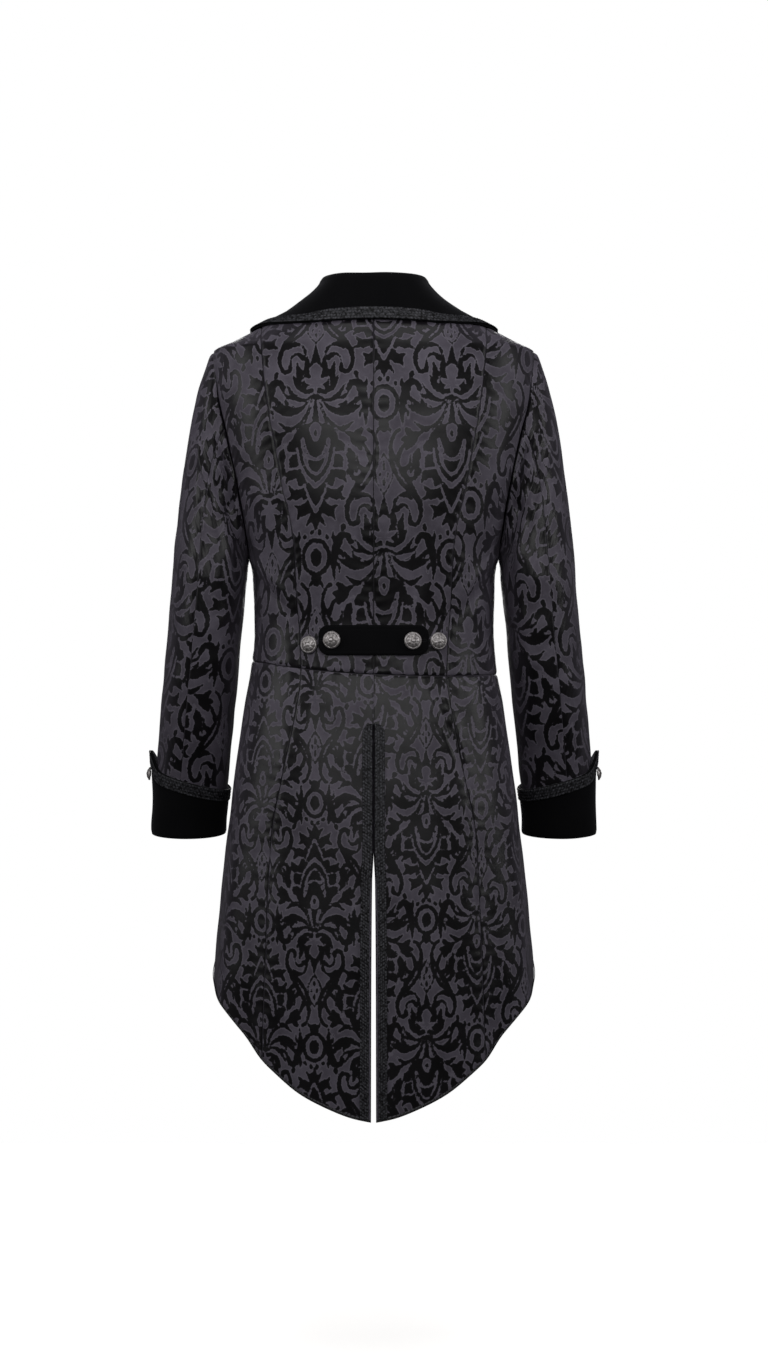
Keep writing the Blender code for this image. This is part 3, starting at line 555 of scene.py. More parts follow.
def lapel_grid(side):
    """The lapel from the break up to the gorge. Its last column and row are as wide as its braid."""
    gone = np.linspace(LAPEL_START[side], 1, LAPEL_ROWS + 1)[:, None]
    weights = np.hstack([(1 - gone) ** 3, 3 * gone * (1 - gone) ** 2, 3 * gone**2 * (1 - gone), gone**3])
    edge = weights @ np.array(LAPEL_EDGE)
    roll_start = np.array(LAPEL_ROLL[side])
    up = np.linspace(0, 1, LAPEL_ROWS)
    up = np.append(up[:-1] * (1 - LAPEL_TOP_ROW) / up[-2], 1)
    roll = roll_start + (np.array(GORGE) - roll_start) * up[:, None]
    gone_up = np.interp(up, np.linspace(0, 1, LAPEL_ROWS + 1), gone[:, 0])
    edge = np.stack([np.interp(gone_up, gone[:, 0], edge[:, i]) for i in (0, 1)], -1)
    width = np.linalg.norm(edge - roll, axis=1)
    braid = np.clip(BRAID_WIDTH / width, 0, LAPEL_BRAID_MOST)
    across = np.hstack([np.array(LAPEL_SHARES) * (1 - braid[:, None]), np.ones((LAPEL_ROWS, 1))])
    flat = roll[:, None] + (edge - roll)[:, None] * across[..., None]
    x, z = gorge_line(across[-1])
    beyond = np.clip((across[-1] - NOTCH_SHARE) / (1 - NOTCH_SHARE), 0, 1)
    top = np.stack([x + (edge[-1, 0] - x) * beyond, z + (edge[-1, 1] - z) * beyond], -1)
    flat = flat + (up[:, None, None] ** 4) * (top - flat[-1])[None]
    return flat


def grid_normals(points):
    """Normals of a grid of points from its own neighbours."""
    return unit(np.cross(np.gradient(points, axis=0), np.gradient(points, axis=1)))


def back_centre(side, across, down):
    """Centre back to the side-back seam: shares of the way out and down, as angles and heights."""
    share = across[:, None]
    top_x = share * body_sizes(PRINCESS_TOP)[0]
    neck = -BACK_NECK_DROP * (1 - np.clip(top_x / NECK_HALF_WIDTH, 0, 1) ** 2)
    slope = np.linspace(0, SHOULDER_TIP, 80)
    shoulder = np.interp(top_x, body_sizes(slope)[0], slope)
    top = np.where(top_x < NECK_HALF_WIDTH, neck, shoulder)
    level = PRINCESS_TOP + (WAIST_CENTRE - PRINCESS_TOP) * down
    x = share * read(PRINCESS, PRINCESS_COLUMNS, "distance", level)
    low = waist_height(back_angle(x, np.full_like(x, WAIST_CENTRE)), side)
    z = top + (low - top) * down
    return back_angle(x, z), z


def back_side(side, across, down):
    """Side-back seam to the armhole and the side seam, mixed straight between its two edges."""
    centre_angle, centre_z = back_centre(side, np.array([1.0]), down)
    edge_angle, edge_z = outer_edge(side, down, back=True)
    share = across[:, None]
    angle = centre_angle + (edge_angle - centre_angle) * share
    z = centre_z + (edge_z - centre_z) * share
    z[:, -1] = waist_height(angle[:, -1], side)
    return angle, z


def front(side, across, down):
    """Armhole and side seam to the lapel's roll line and the buttoned edge, mixed straight between."""
    edge_angle, edge_z = outer_edge(side, down, back=False)
    low = waist_height(math.pi, side)
    inner_z = low * down
    heights, distances = np.array(FRONT_EDGE, float).T
    inner_angle = front_angle(np.interp(inner_z, heights, distances), inner_z)
    share = across[:, None]
    angle = edge_angle + (inner_angle - edge_angle) * share
    z = edge_z + (inner_z - edge_z) * share
    z[:, -1] = waist_height(angle[:, -1], side)
    return angle, z


def tail_back(side, across, down):
    """The vent's edge to the tail seam, from the waist seam to the hem."""
    seam_angle, _ = tail_seam_line(side, down)
    level = WAIST_CENTRE + (hem_height(0.0) - WAIST_CENTRE) * down
    half_gap = np.maximum(read(VENT, VENT_COLUMNS, "half_gap", level) - VENT_CLOSING, SEAM_GAP)
    edge_angle = back_angle(half_gap, level)
    angle = edge_angle + (seam_angle - edge_angle) * across[:, None]
    low, high = hem_height(angle), waist_height(angle, side)
    return angle, high + (low - high) * down


def tail_side(side, across, down):
    """Tail seam to the cutaway edge: a patch between four curves, with a corner in the hem."""
    across = across[:, None]
    whole = np.concatenate([[0], down, [1]])
    left_angle, left_z = tail_seam_line(side, whole)
    right_angle = CUTAWAY_TOP + (CUTAWAY_CORNER - CUTAWAY_TOP) * whole
    step_down = waist_height(CUTAWAY_TOP, side) - SEAM - hem_height(CUTAWAY_TOP)
    right_z = hem_height(right_angle) + step_down * np.clip(1 - whole / CUTAWAY_CURVE_START, 0, 1)
    top_angle = left_angle[0] + (CUTAWAY_TOP - left_angle[0]) * across
    low_angle = left_angle[-1] + (CUTAWAY_CORNER - left_angle[-1]) * across

    def patch(left, right, top, low):
        """The two ruled surfaces between opposite edges, less the one through the four corners."""
        corners = (1 - across) * ((1 - down) * left[0] + down * left[-1])
        corners = corners + across * ((1 - down) * right[0] + down * right[-1])
        sides = (1 - across) * left[1:-1] + across * right[1:-1]
        return sides + (1 - down) * top + down * low - corners

    angle = patch(left_angle, right_angle, top_angle, low_angle)
    return angle, patch(left_z, right_z, waist_height(top_angle, side), hem_height(low_angle))


# Soft folds of the body, on its outer side. Columns: x and z of the middle, half length, half
# width, lean, rise. A lean of 0 runs down the body, and a positive one leans away from the centre
# going down.
BACK_FOLDS = (
    (146, -366, 50, 9, -0.95, 2.8),
    (138, -392, 46, 8, -0.80, -2.8),
    (126, -414, 40, 8, -0.62, 2.0),
    (-148, -362, 48, 9, -0.90, 2.7),
    (-142, -390, 44, 9, -0.74, -2.7),
    (-132, -416, 38, 8, -0.60, 1.9),
    (112, -438, 30, 8, -0.42, -1.3),
    (-116, -440, 30, 8, -0.44, -1.3),
    (-62, -404, 40, 11, -0.35, 1.2),
    (58, -410, 38, 11, -0.35, 1.1),
    (-86, -560, 44, 7, 0.34, 1.9),
    (-96, -570, 44, 5.5, 0.38, -3.0),
    (-108, -578, 46, 8, 0.34, 1.8),
    (88, -560, 56, 12, 0.25, 1.3),
    (-128, -610, 70, 15, 0.12, -1.5),
    (120, -620, 80, 15, 0.14, 1.4),
    (138, -300, 42, 10, -0.2, 1.4),
    (-140, -296, 42, 10, -0.2, 1.5),
    (36, -330, 70, 18, 0.1, 0.7),
    (-40, -318, 70, 18, 0.1, 0.6),
    (-22, -486, 26, 12, 1.2, 0.8),
    (24, -488, 26, 12, 1.2, 0.7),
)
FRONT_FOLDS = (
    (120, -400, 60, 11, -0.6, 1.6),
    (-124, -396, 60, 12, -0.6, 1.8),
    (60, -440, 46, 10, -0.9, 1.2),
    (-64, -436, 46, 10, -0.9, 1.2),
    (150, -250, 60, 14, 0.2, 1.6),
    (-150, -252, 60, 14, 0.2, 1.5),
)
# More drag and elbow folds of the sleeve, in the columns of the creases above.
SLEEVE_FOLDS = (
    (1.60, -220, 0.060, 30, -0.0100, -5.2),
    (1.46, -228, 0.060, 34, -0.0100, 3.4),
    (1.34, -236, 0.050, 30, -0.0100, -2.6),
    (1.22, -240, 0.060, 36, -0.0090, 1.8),
    (1.78, -262, 0.070, 30, -0.0090, 2.6),
    (1.95, -285, 0.080, 30, -0.0080, -3.0),
    (1.62, -292, 0.080, 30, -0.0085, -2.0),
    (1.40, -310, 0.090, 34, -0.0070, 1.8),
    (2.05, -335, 0.10, 34, -0.0060, 2.4),
    (1.70, -350, 0.09, 30, -0.0060, -2.0),
    (2.40, -365, 0.16, 30, -0.0050, -1.7),
    (0.75, -205, 0.16, 44, -0.0040, -1.0),
    (0.30, -150, 0.22, 30, 0.0020, 1.0),
    (2.00, -432, 0.30, 17, 0.0120, 1.5),
    (1.55, -462, 0.34, 15, -0.0100, -1.4),
    (1.95, -486, 0.30, 13, 0.0120, 1.3),
    (0.95, -505, 0.30, 18, -0.0080, 1.2),
    (-0.4, -470, 0.40, 20, 0.0060, 1.5),
    (-0.9, -512, 0.45, 16, 0.0060, 1.6),
    (-1.6, -455, 0.40, 18, -0.0060, 1.6),
    (1.30, -560, 0.22, 50, 0.0020, 1.1),
    (0.60, -600, 0.20, 46, -0.0015, -1.0),
    (1.90, -610, 0.20, 40, 0.0020, -1.0),
)
# Waves of slight unevenness in the cloth: direction numbers per millimetre, phase and height.
WAVES = (
    ((0.061, 0.012, 0.018), 0.7, 0.22),
    ((0.034, 0.022, -0.039), 2.1, 0.25),
    ((-0.019, 0.031, 0.058), 4.0, 0.20),
    ((0.012, -0.026, 0.090), 1.2, 0.13),
    ((0.088, 0.030, 0.046), 5.1, 0.11),
    ((-0.052, 0.040, 0.101), 3.3, 0.09),
)
# Two sewn pieces run a hair past their seam, so no light comes through, and the vent's edges are
# pressed shut by this much.
SEAM_GAP = -0.04
VENT_CLOSING = 0.30
SEAM_DIP = 1.25
SEAM_ROUND = 1.9
# The tails' smaller figure keeps its weight, so each of its strokes is wider by this.
TAIL_BOLDER = 0.35
# Half widths of the lines of painted shade along the seams, for the shadow in their creases, and how much
# each seam's dip shows. The armhole's painted shade widens down into a painted armpit shadow.
SEAM_SHADE_WIDTH = 0.75
TAIL_SEAM_SHOWN = 0.35
SLEEVE_SEAM_SHOWN = 0.4
SLEEVE_SEAM_SHADE_WIDTH = 0.1
ARMHOLE_SHADE_WIDTH = 1.5
ARMHOLE_HIDDEN = 14.0
ARMHOLE_GROWS = 70.0
ARMPIT_SHADE_TOP = -180.0
ARMPIT_SHADE_LENGTH = 150.0
# Puckers run out from a seam as waves along it, whose spacing drifts, and start a little way off.
PUCKER_REACH = 13.0
PUCKER_SPACING = 15.0
PUCKER_RISE = 0.34
PUCKER_DRIFT = (1.7, 31.0)
PUCKER_START = 3.0
SEAM_SHARPNESS = 3

# The damask. One motif, drawn down the page from the top of its crown, in units that each panel's
# scale turns to millimetres. Its columns are half a repeat apart and each is dropped by half.
HALF_REPEAT = 54.0
REPEAT = 244.0
TILE_STEP = 0.5
OVERHANG = 36.0
STROKE_STEP = 0.8
FIGURE, GROUND = 1, -1
STROKES = (
    # Crown of spiked leaves behind a pale fleur.
    (FIGURE, ((0, 34), (0, 18), (0, -2)), (9, 5.6, 0.6)),
    (FIGURE, ((3, 34), (6.4, 20), (7, 6)), (6, 4.0, 0.6)),
    (FIGURE, ((6, 34), (12, 24), (15, 12)), (5, 3.8, 0.6)),
    (FIGURE, ((8, 35), (14, 31), (18, 23)), (3, 2.8, 0.6)),
    (FIGURE, ((3, 35.4), (9, 36), (14, 34.5)), (1.4, 1.4, 0.8)),
    (GROUND, ((0, 14.5), (0, 19), (0, 25)), (2.0, 5.2, 3.6)),
    (GROUND, ((0, 28.5), (5, 28), (8.6, 26)), (2.8, 2.4, 1.2)),
    (GROUND, ((0, 31), (4, 32), (6.6, 34)), (2.0, 1.5, 0.8)),
    (GROUND, ((0, 26), (0, 32), (0, 38)), (3, 1.8, 0.8)),
    (GROUND, ((9.5, 22), (11, 27), (11, 31)), (0.3, 0.6, 0.3)),
    # Fan of leaves curling up and out.
    (GROUND, ((0.5, 37.6), (8, 39.6), (15, 37.6), (19, 32)), (0.8, 1.1, 1.1, 0.6)),
    (FIGURE, ((2, 39.6), (9, 43.4), (17, 40.2), (23.5, 30.5)), (0.6, 1.3, 2.3, 0.5)),
    (FIGURE, ((16, 42), (22.5, 40.5), (27, 35.5)), (1.4, 1.5, 0.5)),
    (FIGURE, ((5, 43.6), (12, 50.4), (22, 52.4), (30, 50)), (0.5, 2.0, 4.2, 3.0)),
    (FIGURE, ((19, 50), (23, 46.5), (25, 42)), (3, 1.9, 0.5)),
    (FIGURE, ((25, 50), (29, 46), (31, 42)), (2.6, 1.9, 0.5)),
    (FIGURE, ((29, 51), (33, 49), (36, 47)), (2.4, 1.6, 0.5)),
    (GROUND, ((12, 47.6), (17, 48.8), (21, 47)), (0.3, 0.7, 0.3)),
    (FIGURE, ((3.5, 42), (7.5, 55), (15, 64.5), (22, 66.5), (30, 61)), (0.5, 0.9, 1.9, 2.5, 0.6)),
    # Spear down the middle.
    (FIGURE, ((0, 41), (0, 52), (0, 64)), (0.6, 1.9, 3.4)),
    (FIGURE, ((2.2, 42), (4.8, 52), (9, 62)), (0.4, 0.7, 0.9)),
    # Body of the palmette, which pale veins part into leaves, and the jewel under a pale cap.
    (FIGURE, ((0, 76), (0, 90), (0, 105), (0, 120), (0, 134)), (15, 18.6, 15.4, 10.6, 4)),
    (FIGURE, ((2, 66), (9, 67.5), (15, 73), (17, 77)), (4, 4.6, 3.0, 1.0)),
    (FIGURE, ((0, 66), (0, 74), (0, 84)), (6.0, 8.4, 7.0)),
    (GROUND, ((0, 66), (0, 69.5), (0, 74)), (4.6, 4.4, 2.4)),
    (FIGURE, ((0, 67.5), (0, 69.5), (0, 71.5)), (0.7, 1.5, 0.7)),
    (GROUND, ((10.4, 75), (8.8, 83), (5, 88.6), (0, 90.6)), (1.5, 2.2, 1.7, 1.4)),
    (FIGURE, ((8.8, 79.5), (8.9, 80), (9, 80.6)), (0.7, 0.8, 0.7)),
    (FIGURE, ((6.8, 85.8), (6.7, 86), (6.4, 86.4)), (0.6, 0.7, 0.6)),
    (FIGURE, ((0, 94), (0, 95.5), (0, 97)), (2.6, 3.1, 2.3)),
    (GROUND, ((9.6, 86), (7, 95), (3.6, 100.6), (0, 102.2)), (1.2, 1.6, 1.6, 1.4)),
    (FIGURE, ((13.4, 79), (11.4, 90), (6, 100.6), (0, 105.6)), (0.9, 1.1, 1.3, 1.7)),
    (GROUND, ((15, 82), (12.8, 94), (7, 105), (0, 111.4)), (0.8, 1.2, 1.5, 2.2)),
    (FIGURE, ((7.5, 108), (5, 113), (0, 119)), (1.8, 3.0, 4.0)),
    (FIGURE, ((0, 116), (0, 121), (0, 125)), (4.4, 3.4, 1.4)),
    # Outer leaf of three lobes, and the jagged leaf that hangs from it.
    (FIGURE, ((24, 69), (29, 71.5), (32, 75)), (1.0, 2.8, 4.4)),
    (FIGURE, ((31, 73), (34, 69.6), (36.4, 67)), (3.2, 2.9, 1.7)),
    (FIGURE, ((32, 75), (36.4, 75), (39, 75)), (3.4, 2.9, 1.8)),
    (FIGURE, ((32, 77), (34.6, 80), (36, 82.4)), (3.2, 2.5, 1.4)),
    (FIGURE, ((24, 79), (28, 88), (29.5, 96)), (2.0, 3.5, 2.6)),
    (FIGURE, ((28, 93), (26, 100), (25.2, 103)), (2.0, 1.5, 0.5)),
    (FIGURE, ((30, 93), (32, 99), (33.4, 102)), (2.0, 1.4, 0.5)),
    (FIGURE, ((29, 95), (29.2, 102), (29.4, 107)), (1.6, 1.3, 0.5)),
    (GROUND, ((16, 66), (22.6, 73), (26.4, 80), (33, 84.4)), (0.6, 1.0, 1.0, 0.8)),
    # Inner leaves, parted by pale veins.
    (FIGURE, ((15, 76), (18.4, 79), (20.6, 83)), (2.4, 3.9, 2.8)),
    (FIGURE, ((16.4, 87), (17.8, 91), (19, 95.6)), (2.6, 4.2, 3.0)),
    (GROUND, ((20, 72), (24.6, 81), (22.8, 89), (24, 98)), (0.7, 1.1, 1.1, 0.9)),
    (GROUND, ((14.6, 84.6), (18, 85.4), (24, 84.0)), (0.5, 0.9, 0.8)),
    (FIGURE, ((12, 99.6), (16, 101.2), (20.6, 102.4)), (3.0, 3.8, 3.8)),
    (FIGURE, ((20, 104), (23, 106.4), (24.6, 109)), (2.2, 1.5, 0.5)),
    (FIGURE, ((9, 104), (11, 107.6), (12.6, 111)), (2.4, 2.8, 1.3)),
    # Lower lobes down to the tip.
    (FIGURE, ((7, 115), (12, 116.8), (17, 118.6)), (3.4, 3.8, 4.2)),
    (FIGURE, ((17.6, 117), (20.6, 113.6), (22, 111)), (2.5, 1.6, 0.5)),
    (FIGURE, ((18, 120), (21.4, 121.2), (24, 121.6)), (2.4, 1.6, 0.5)),
    (FIGURE, ((3, 127.6), (7.4, 129.2), (11, 131.4)), (3.4, 4.2, 4.2)),
    (FIGURE, ((12, 130), (15, 128), (17.4, 127)), (2.4, 1.5, 0.5)),
    (FIGURE, ((12, 133), (14, 135.4), (15.6, 138)), (2.4, 1.5, 0.5)),
    (FIGURE, ((0, 133), (0, 139), (0, 147)), (5.0, 3.6, 0.5)),
    (FIGURE, ((3, 137), (5.6, 140), (7.6, 143)), (2.4, 1.5, 0.5)),
    (GROUND, ((4.4, 132.6), (6.6, 135.6), (7.8, 138.6)), (0.4, 0.7, 0.4)),
    (GROUND, ((5.6, 121), (9.4, 123.8), (14, 124.6), (19, 123.6)), (0.5, 0.9, 1.1, 1.8)),
    (GROUND, ((10, 95.6), (14, 97.2), (20, 97.8), (25, 96.8)), (0.5, 0.9, 0.9, 1.0)),
    (GROUND, ((7.6, 109.4), (11.4, 112.4), (16, 112.6), (21, 108.6)), (0.5, 0.9, 1.2, 1.6)),
    (GROUND, ((9.4, 110), (6.4, 118.5), (3, 126), (0, 131)), (0.7, 1.0, 1.2, 1.8)),
    (GROUND, ((15, 82), (12.8, 94), (7, 105), (0, 111.4)), (0.8, 1.2, 1.5, 2.2)),
    # Dots over the oval.
    (FIGURE, ((3, 147.4), (3, 148.4), (3.2, 149.4)), (1.5, 1.9, 1.3)),
    (FIGURE, ((8.6, 151), (9, 152), (9.4, 153)), (1.3, 1.7, 1.1)),
    (FIGURE, ((22, 142), (22, 144), (21.4, 146)), (0.8, 2.2, 1.6)),
    # Drop below the oval.
    (FIGURE, ((0, 183.4), (0, 186), (0, 189)), (4.0, 4.4, 2.4)),
    (FIGURE, ((2, 187), (4.6, 189.4), (6, 192.4)), (2.0, 1.3, 0.5)),
    # Hooked scroll beside the oval.
    (FIGURE, ((14.6, 186), (14.2, 175), (15.6, 164), (18, 156)), (0.6, 2.2, 3.2, 3.6)),
    (FIGURE, ((17, 157), (20, 151.6), (25, 151), (28, 156)), (3.6, 3.2, 2.6, 2.2)),
    (FIGURE, ((17, 157), (14, 152), (14, 147.5)), (2.6, 1.6, 0.5)),
    (FIGURE, ((18, 163), (21.4, 165), (22, 169.6)), (2.6, 1.8, 0.5)),
    (FIGURE, ((15.4, 173), (18.6, 175), (19, 180)), (2.0, 1.3, 0.5)),
    # Plumes that sweep out to scrolls.
    (FIGURE, ((12, 189.4), (8.4, 192.6), (5.4, 201), (6.4, 211)), (1.7, 1.5, 1.5, 2.6)),
    (FIGURE, ((18.6, 199), (14, 204), (10, 214)), (1.2, 1.5, 2.2)),
    (FIGURE, ((6.4, 209), (9.6, 219), (16, 229), (23, 239)), (2.2, 4.2, 5.0, 3.2)),
    (
        FIGURE,
        ((21, 236), (28, 247), (29, 256), (26, 263.6), (21, 262.6), (20.4, 258)),
        (3.2, 2.2, 1.8, 1.8, 2.3, 1.5),
    ),
    (FIGURE, ((15, 222), (20, 217), (21, 209)), (2.6, 1.5, 0.5)),
    (FIGURE, ((19, 229), (25.4, 226), (28, 219)), (2.4, 1.4, 0.5)),
    (GROUND, ((8, 214), (12, 224), (18, 233)), (0.4, 0.9, 0.5)),
    (FIGURE, ((20.6, 257), (19, 251), (14.6, 249), (10, 252.4)), (0.7, 0.9, 1.6, 2.5)),
    (FIGURE, ((22, 244), (17, 240.6), (11.4, 241.6)), (1.2, 2.4, 0.8)),
    (FIGURE, ((11, 242), (8.6, 246), (8, 250)), (0.9, 1.6, 0.7)),
    # Ogee jewel between the plumes.
    (FIGURE, ((0, 208), (5.6, 218), (6.6, 227), (3.4, 235), (0, 240)), (0.6, 0.7, 0.7, 0.7, 0.8)),
    (FIGURE, ((0, 214), (0, 218), (0, 221)), (0.5, 1.4, 0.6)),
    (FIGURE, ((2.6, 223), (3.0, 225), (2.6, 227)), (0.5, 1.0, 0.5)),
    (FIGURE, ((0, 228), (0, 231), (0, 234)), (0.6, 1.5, 0.6)),
)
OVAL_CENTRE = 168.0
OVAL_RINGS = ((FIGURE, 12.2, 15.4), (GROUND, 8.8, 11.6), (FIGURE, 4.6, 7.0))

# How the cloth was laid when each panel was cut. Columns: millimetres for each unit of the motif,
# where a column's axis is, the height of a crown's top, and -1 where the cloth was turned head down.
LAYS = {
    "back_centre_left": (1.64, -13.4, -276.0, 1),
    "back_centre_right": (1.64, -13.4, -276.0, 1),
    "back_side_left": (1.64, 140.0, -335.6, -1),
    "back_side_right": (1.64, -129.6, -405.9, 1),
    "tail_back_left": (1.28, 76.0, -882.6, -1),
    "tail_back_right": (1.282, -68.0, -603.0, 1),
    "tail_side_left": (1.28, 152.0, -725.0, -1),
    "tail_side_right": (1.282, -146.0, -773.0, 1),
    "front_left": (1.5, 330.0, -250.0, 1),
    "front_right": (1.5, -330.0, -250.0, 1),
    "sleeve_upper_left": (1.64, 40.0, -60.0, 1),
    "sleeve_upper_right": (1.64, -34.0, -150.0, 1),
    "sleeve_under_left": (1.64, -30.0, 40.0, 1),
    "sleeve_under_right": (1.64, 24.0, -80.0, 1),
}


def line_through(points, steps):
    """A smooth line through points: each stretch a cubic that leaves along the mean of its neighbours."""
    points = np.array(points, float)
    place = np.linspace(0, len(points) - 1, steps)
    i = np.clip(place.astype(int), 0, len(points) - 2)
    u = (place - i)[:, None]
    slope = np.gradient(points, axis=0)
    joined = (1 + 2 * u) * (1 - u) ** 2 * points[i] + u * u * (3 - 2 * u) * points[i + 1]
    return joined + u * (1 - u) ** 2 * slope[i] - u * u * (1 - u) * slope[i + 1]


def motif(x, y):
    """How far inside the figure each point is: a stroke is its half width less the way to its line."""
    field = np.full(x.shape, -REPEAT)

    def laid(kind, inside):
        """The field with one more stroke, which adds to the figure or cuts into it."""
        return np.maximum(field, inside) if kind == FIGURE else np.minimum(field, -inside)

    for kind, points, widths in STROKES:
        length = np.linalg.norm(np.diff(np.array(points, float), axis=0), axis=1).sum()
        steps = max(6, int(length / STROKE_STEP))
        way = line_through(points, steps)
        wide = np.interp(np.linspace(0, 1, steps), np.linspace(0, 1, len(widths)), widths)
        away = np.hypot(x[..., None] - way[:, 0], y[..., None] - way[:, 1])
        field = laid(kind, (wide - away).max(-1))
    for kind, a, b in OVAL_RINGS:
        field = laid(kind, (1 - np.hypot(x / a, (y - OVAL_CENTRE) / b)) * a)
    return field


def damask_tile():
    """Half a repeat across by one down: a column's motif, and its neighbour dropped by half."""
    across = np.arange(0, HALF_REPEAT + TILE_STEP, TILE_STEP)
    down = np.arange(-OVERHANG, REPEAT + OVERHANG, TILE_STEP)
    field = motif(*np.meshgrid(across, down, indexing="ij"))
    rows, over = int(REPEAT / TILE_STEP), int(OVERHANG / TILE_STEP)
    column = field[:, over : over + rows].copy()
    column[:, -over:] = np.maximum(column[:, -over:], field[:, :over])
    column[:, :over] = np.maximum(column[:, :over], field[:, over + rows :])
    return np.maximum(column, np.roll(column[::-1], rows // 2, axis=1))


TILE = damask_tile()


def figure_at(across, down, scale):
    """The damask at cloth points in millimetres, read between the tile's points, in millimetres."""
    folded = np.mod(across / scale + HALF_REPEAT, 2 * HALF_REPEAT)
    u = np.abs(folded - HALF_REPEAT) / TILE_STEP
    v = np.mod(down / scale, REPEAT) / TILE_STEP
    i = np.clip(u.astype(int), 0, TILE.shape[0] - 2)
    j = v.astype(int) % TILE.shape[1]
    below = (j + 1) % TILE.shape[1]
    u, v = u - i, v - np.floor(v)
    left = TILE[i, j] * (1 - v) + TILE[i, below] * v
    right = TILE[i + 1, j] * (1 - v) + TILE[i + 1, below] * v
    return (left * (1 - u) + right * u) * scale


GIRTH_ANGLES = np.linspace(0, 3.4, 341)
GIRTH_HEIGHTS = np.linspace(-1110, 50, 233)
LENGTH_ANGLE = 0.45
LENGTH_HEIGHTS = np.linspace(60, -1120, 600)


def girth_table():
    """The way round the body from the centre back to each angle, at each height."""
    ring = body(GIRTH_ANGLES[:, None], GIRTH_HEIGHTS[None, :])
    step = np.linalg.norm(np.diff(ring, axis=0), axis=-1)
    return np.concatenate([np.zeros((1, len(GIRTH_HEIGHTS))), np.cumsum(step, axis=0)])


GIRTHS = girth_table()


def girth(angle, z):
    """The way round from the centre back, read between the table's points."""
    u = np.clip(angle / GIRTH_ANGLES[-1], 0, 1) * (len(GIRTH_ANGLES) - 1)
    v = (z - GIRTH_HEIGHTS[0]) / (GIRTH_HEIGHTS[-1] - GIRTH_HEIGHTS[0])
    v = np.clip(v, 0, 1) * (len(GIRTH_HEIGHTS) - 1)
    i = np.clip(u.astype(int), 0, len(GIRTH_ANGLES) - 2)
    j = np.clip(v.astype(int), 0, len(GIRTH_HEIGHTS) - 2)
    u, v = u - i, v - j
    low = GIRTHS[i, j] * (1 - u) + GIRTHS[i + 1, j] * u
    high = GIRTHS[i, j + 1] * (1 - u) + GIRTHS[i + 1, j + 1] * u
    return low * (1 - v) + high * v


def way_down(z):
    """The length of the cloth from height 0 down to z, along the back."""
    line = body(np.full_like(LENGTH_HEIGHTS, LENGTH_ANGLE), LENGTH_HEIGHTS)
    length = np.concatenate([[0], np.cumsum(np.linalg.norm(np.diff(line, axis=0), axis=1))])
    length = length - np.interp(0, -LENGTH_HEIGHTS, length)
    return np.interp(-z, -LENGTH_HEIGHTS, length)


def evenness(points):
    """Slight swells of the cloth: a sum of long waves through space, so neighbours agree."""
    return sum(rise * np.sin(points @ np.array(k) + phase) for k, phase, rise in WAVES)


def folds(points, table):
    """Soft folds: each a long bell across and along a leaning line."""
    total = np.zeros(points.shape[:-1])
    for x, z, length, width, lean, rise in table:
        dx, dz = points[..., 0] - x, points[..., 2] - z
        lean = lean * np.sign(x)
        along = (-dz + dx * lean) / math.hypot(1, lean)
        across = (dx + dz * lean) / math.hypot(1, lean)
        total = total + rise * np.exp(-((across / width) ** 2) - (along / length) ** 2)
    return total


def edge_ways(points):
    """The way from each point to the grid's four edges, along its rows and columns."""
    ways = {}
    for axis, near, far in ((0, "first", "last"), (1, "top", "bottom")):
        step = np.linalg.norm(np.diff(points, axis=axis), axis=-1)
        run = np.cumsum(step, axis=axis)
        zero = np.zeros_like(run[:1] if axis == 0 else run[:, :1])
        run = np.concatenate([zero, run], axis=axis)
        total = run[-1:] if axis == 0 else run[:, -1:]
        ways[near], ways[far] = run, total - run
    return ways


def armhole_shows(z):
    """How far the armhole's seam shows: hardly at the shoulder's tip, and fully further down."""
    return ease((SHOULDER_TIP - ARMHOLE_HIDDEN - z) / ARMHOLE_GROWS)


def armhole_shade_width(z):
    """The half width of the armhole's line of painted shade, which widens down into a painted armpit
    shadow.
    """
    shade = ease((ARMPIT_SHADE_TOP - z) / ARMPIT_SHADE_LENGTH)
    return ARMHOLE_SHADE_WIDTH * armhole_shows(z) * (1 + shade)


def seam_shape(ways, edges, shown):
    """The dip of a sewn edge and the puckers that run out from it. Each edge has its own strength."""
    dip = 0.0
    drift, drift_length = PUCKER_DRIFT
    for number, name in enumerate(edges):
        away = ways[name]
        along = ways["top" if name in ("first", "last") else "first"]
        dip = dip - SEAM_DIP * shown.get(name, 1.0) * np.exp(-((away / SEAM_ROUND) ** 2))
        phase = drift * np.sin(along / drift_length + number)
        wave = np.sin(along / PUCKER_SPACING * 2 * math.pi + phase)
        begun = 1 - np.exp(-((away / PUCKER_START) ** 2))
        dip = dip + PUCKER_RISE * wave * np.exp(-away / PUCKER_REACH) * begun
    return dip


def grid_faces(rows, columns, closed):
    """Corner numbers of a grid's cells, the last row joined to the first on a closed one."""
    index = np.arange(rows * columns).reshape(rows, columns)
    if closed:
        index = np.vstack([index, index[:1]])
    corners = (index[:-1, :-1], index[1:, :-1], index[1:, 1:], index[:-1, 1:])
    return np.stack([c.ravel() for c in corners], 1)


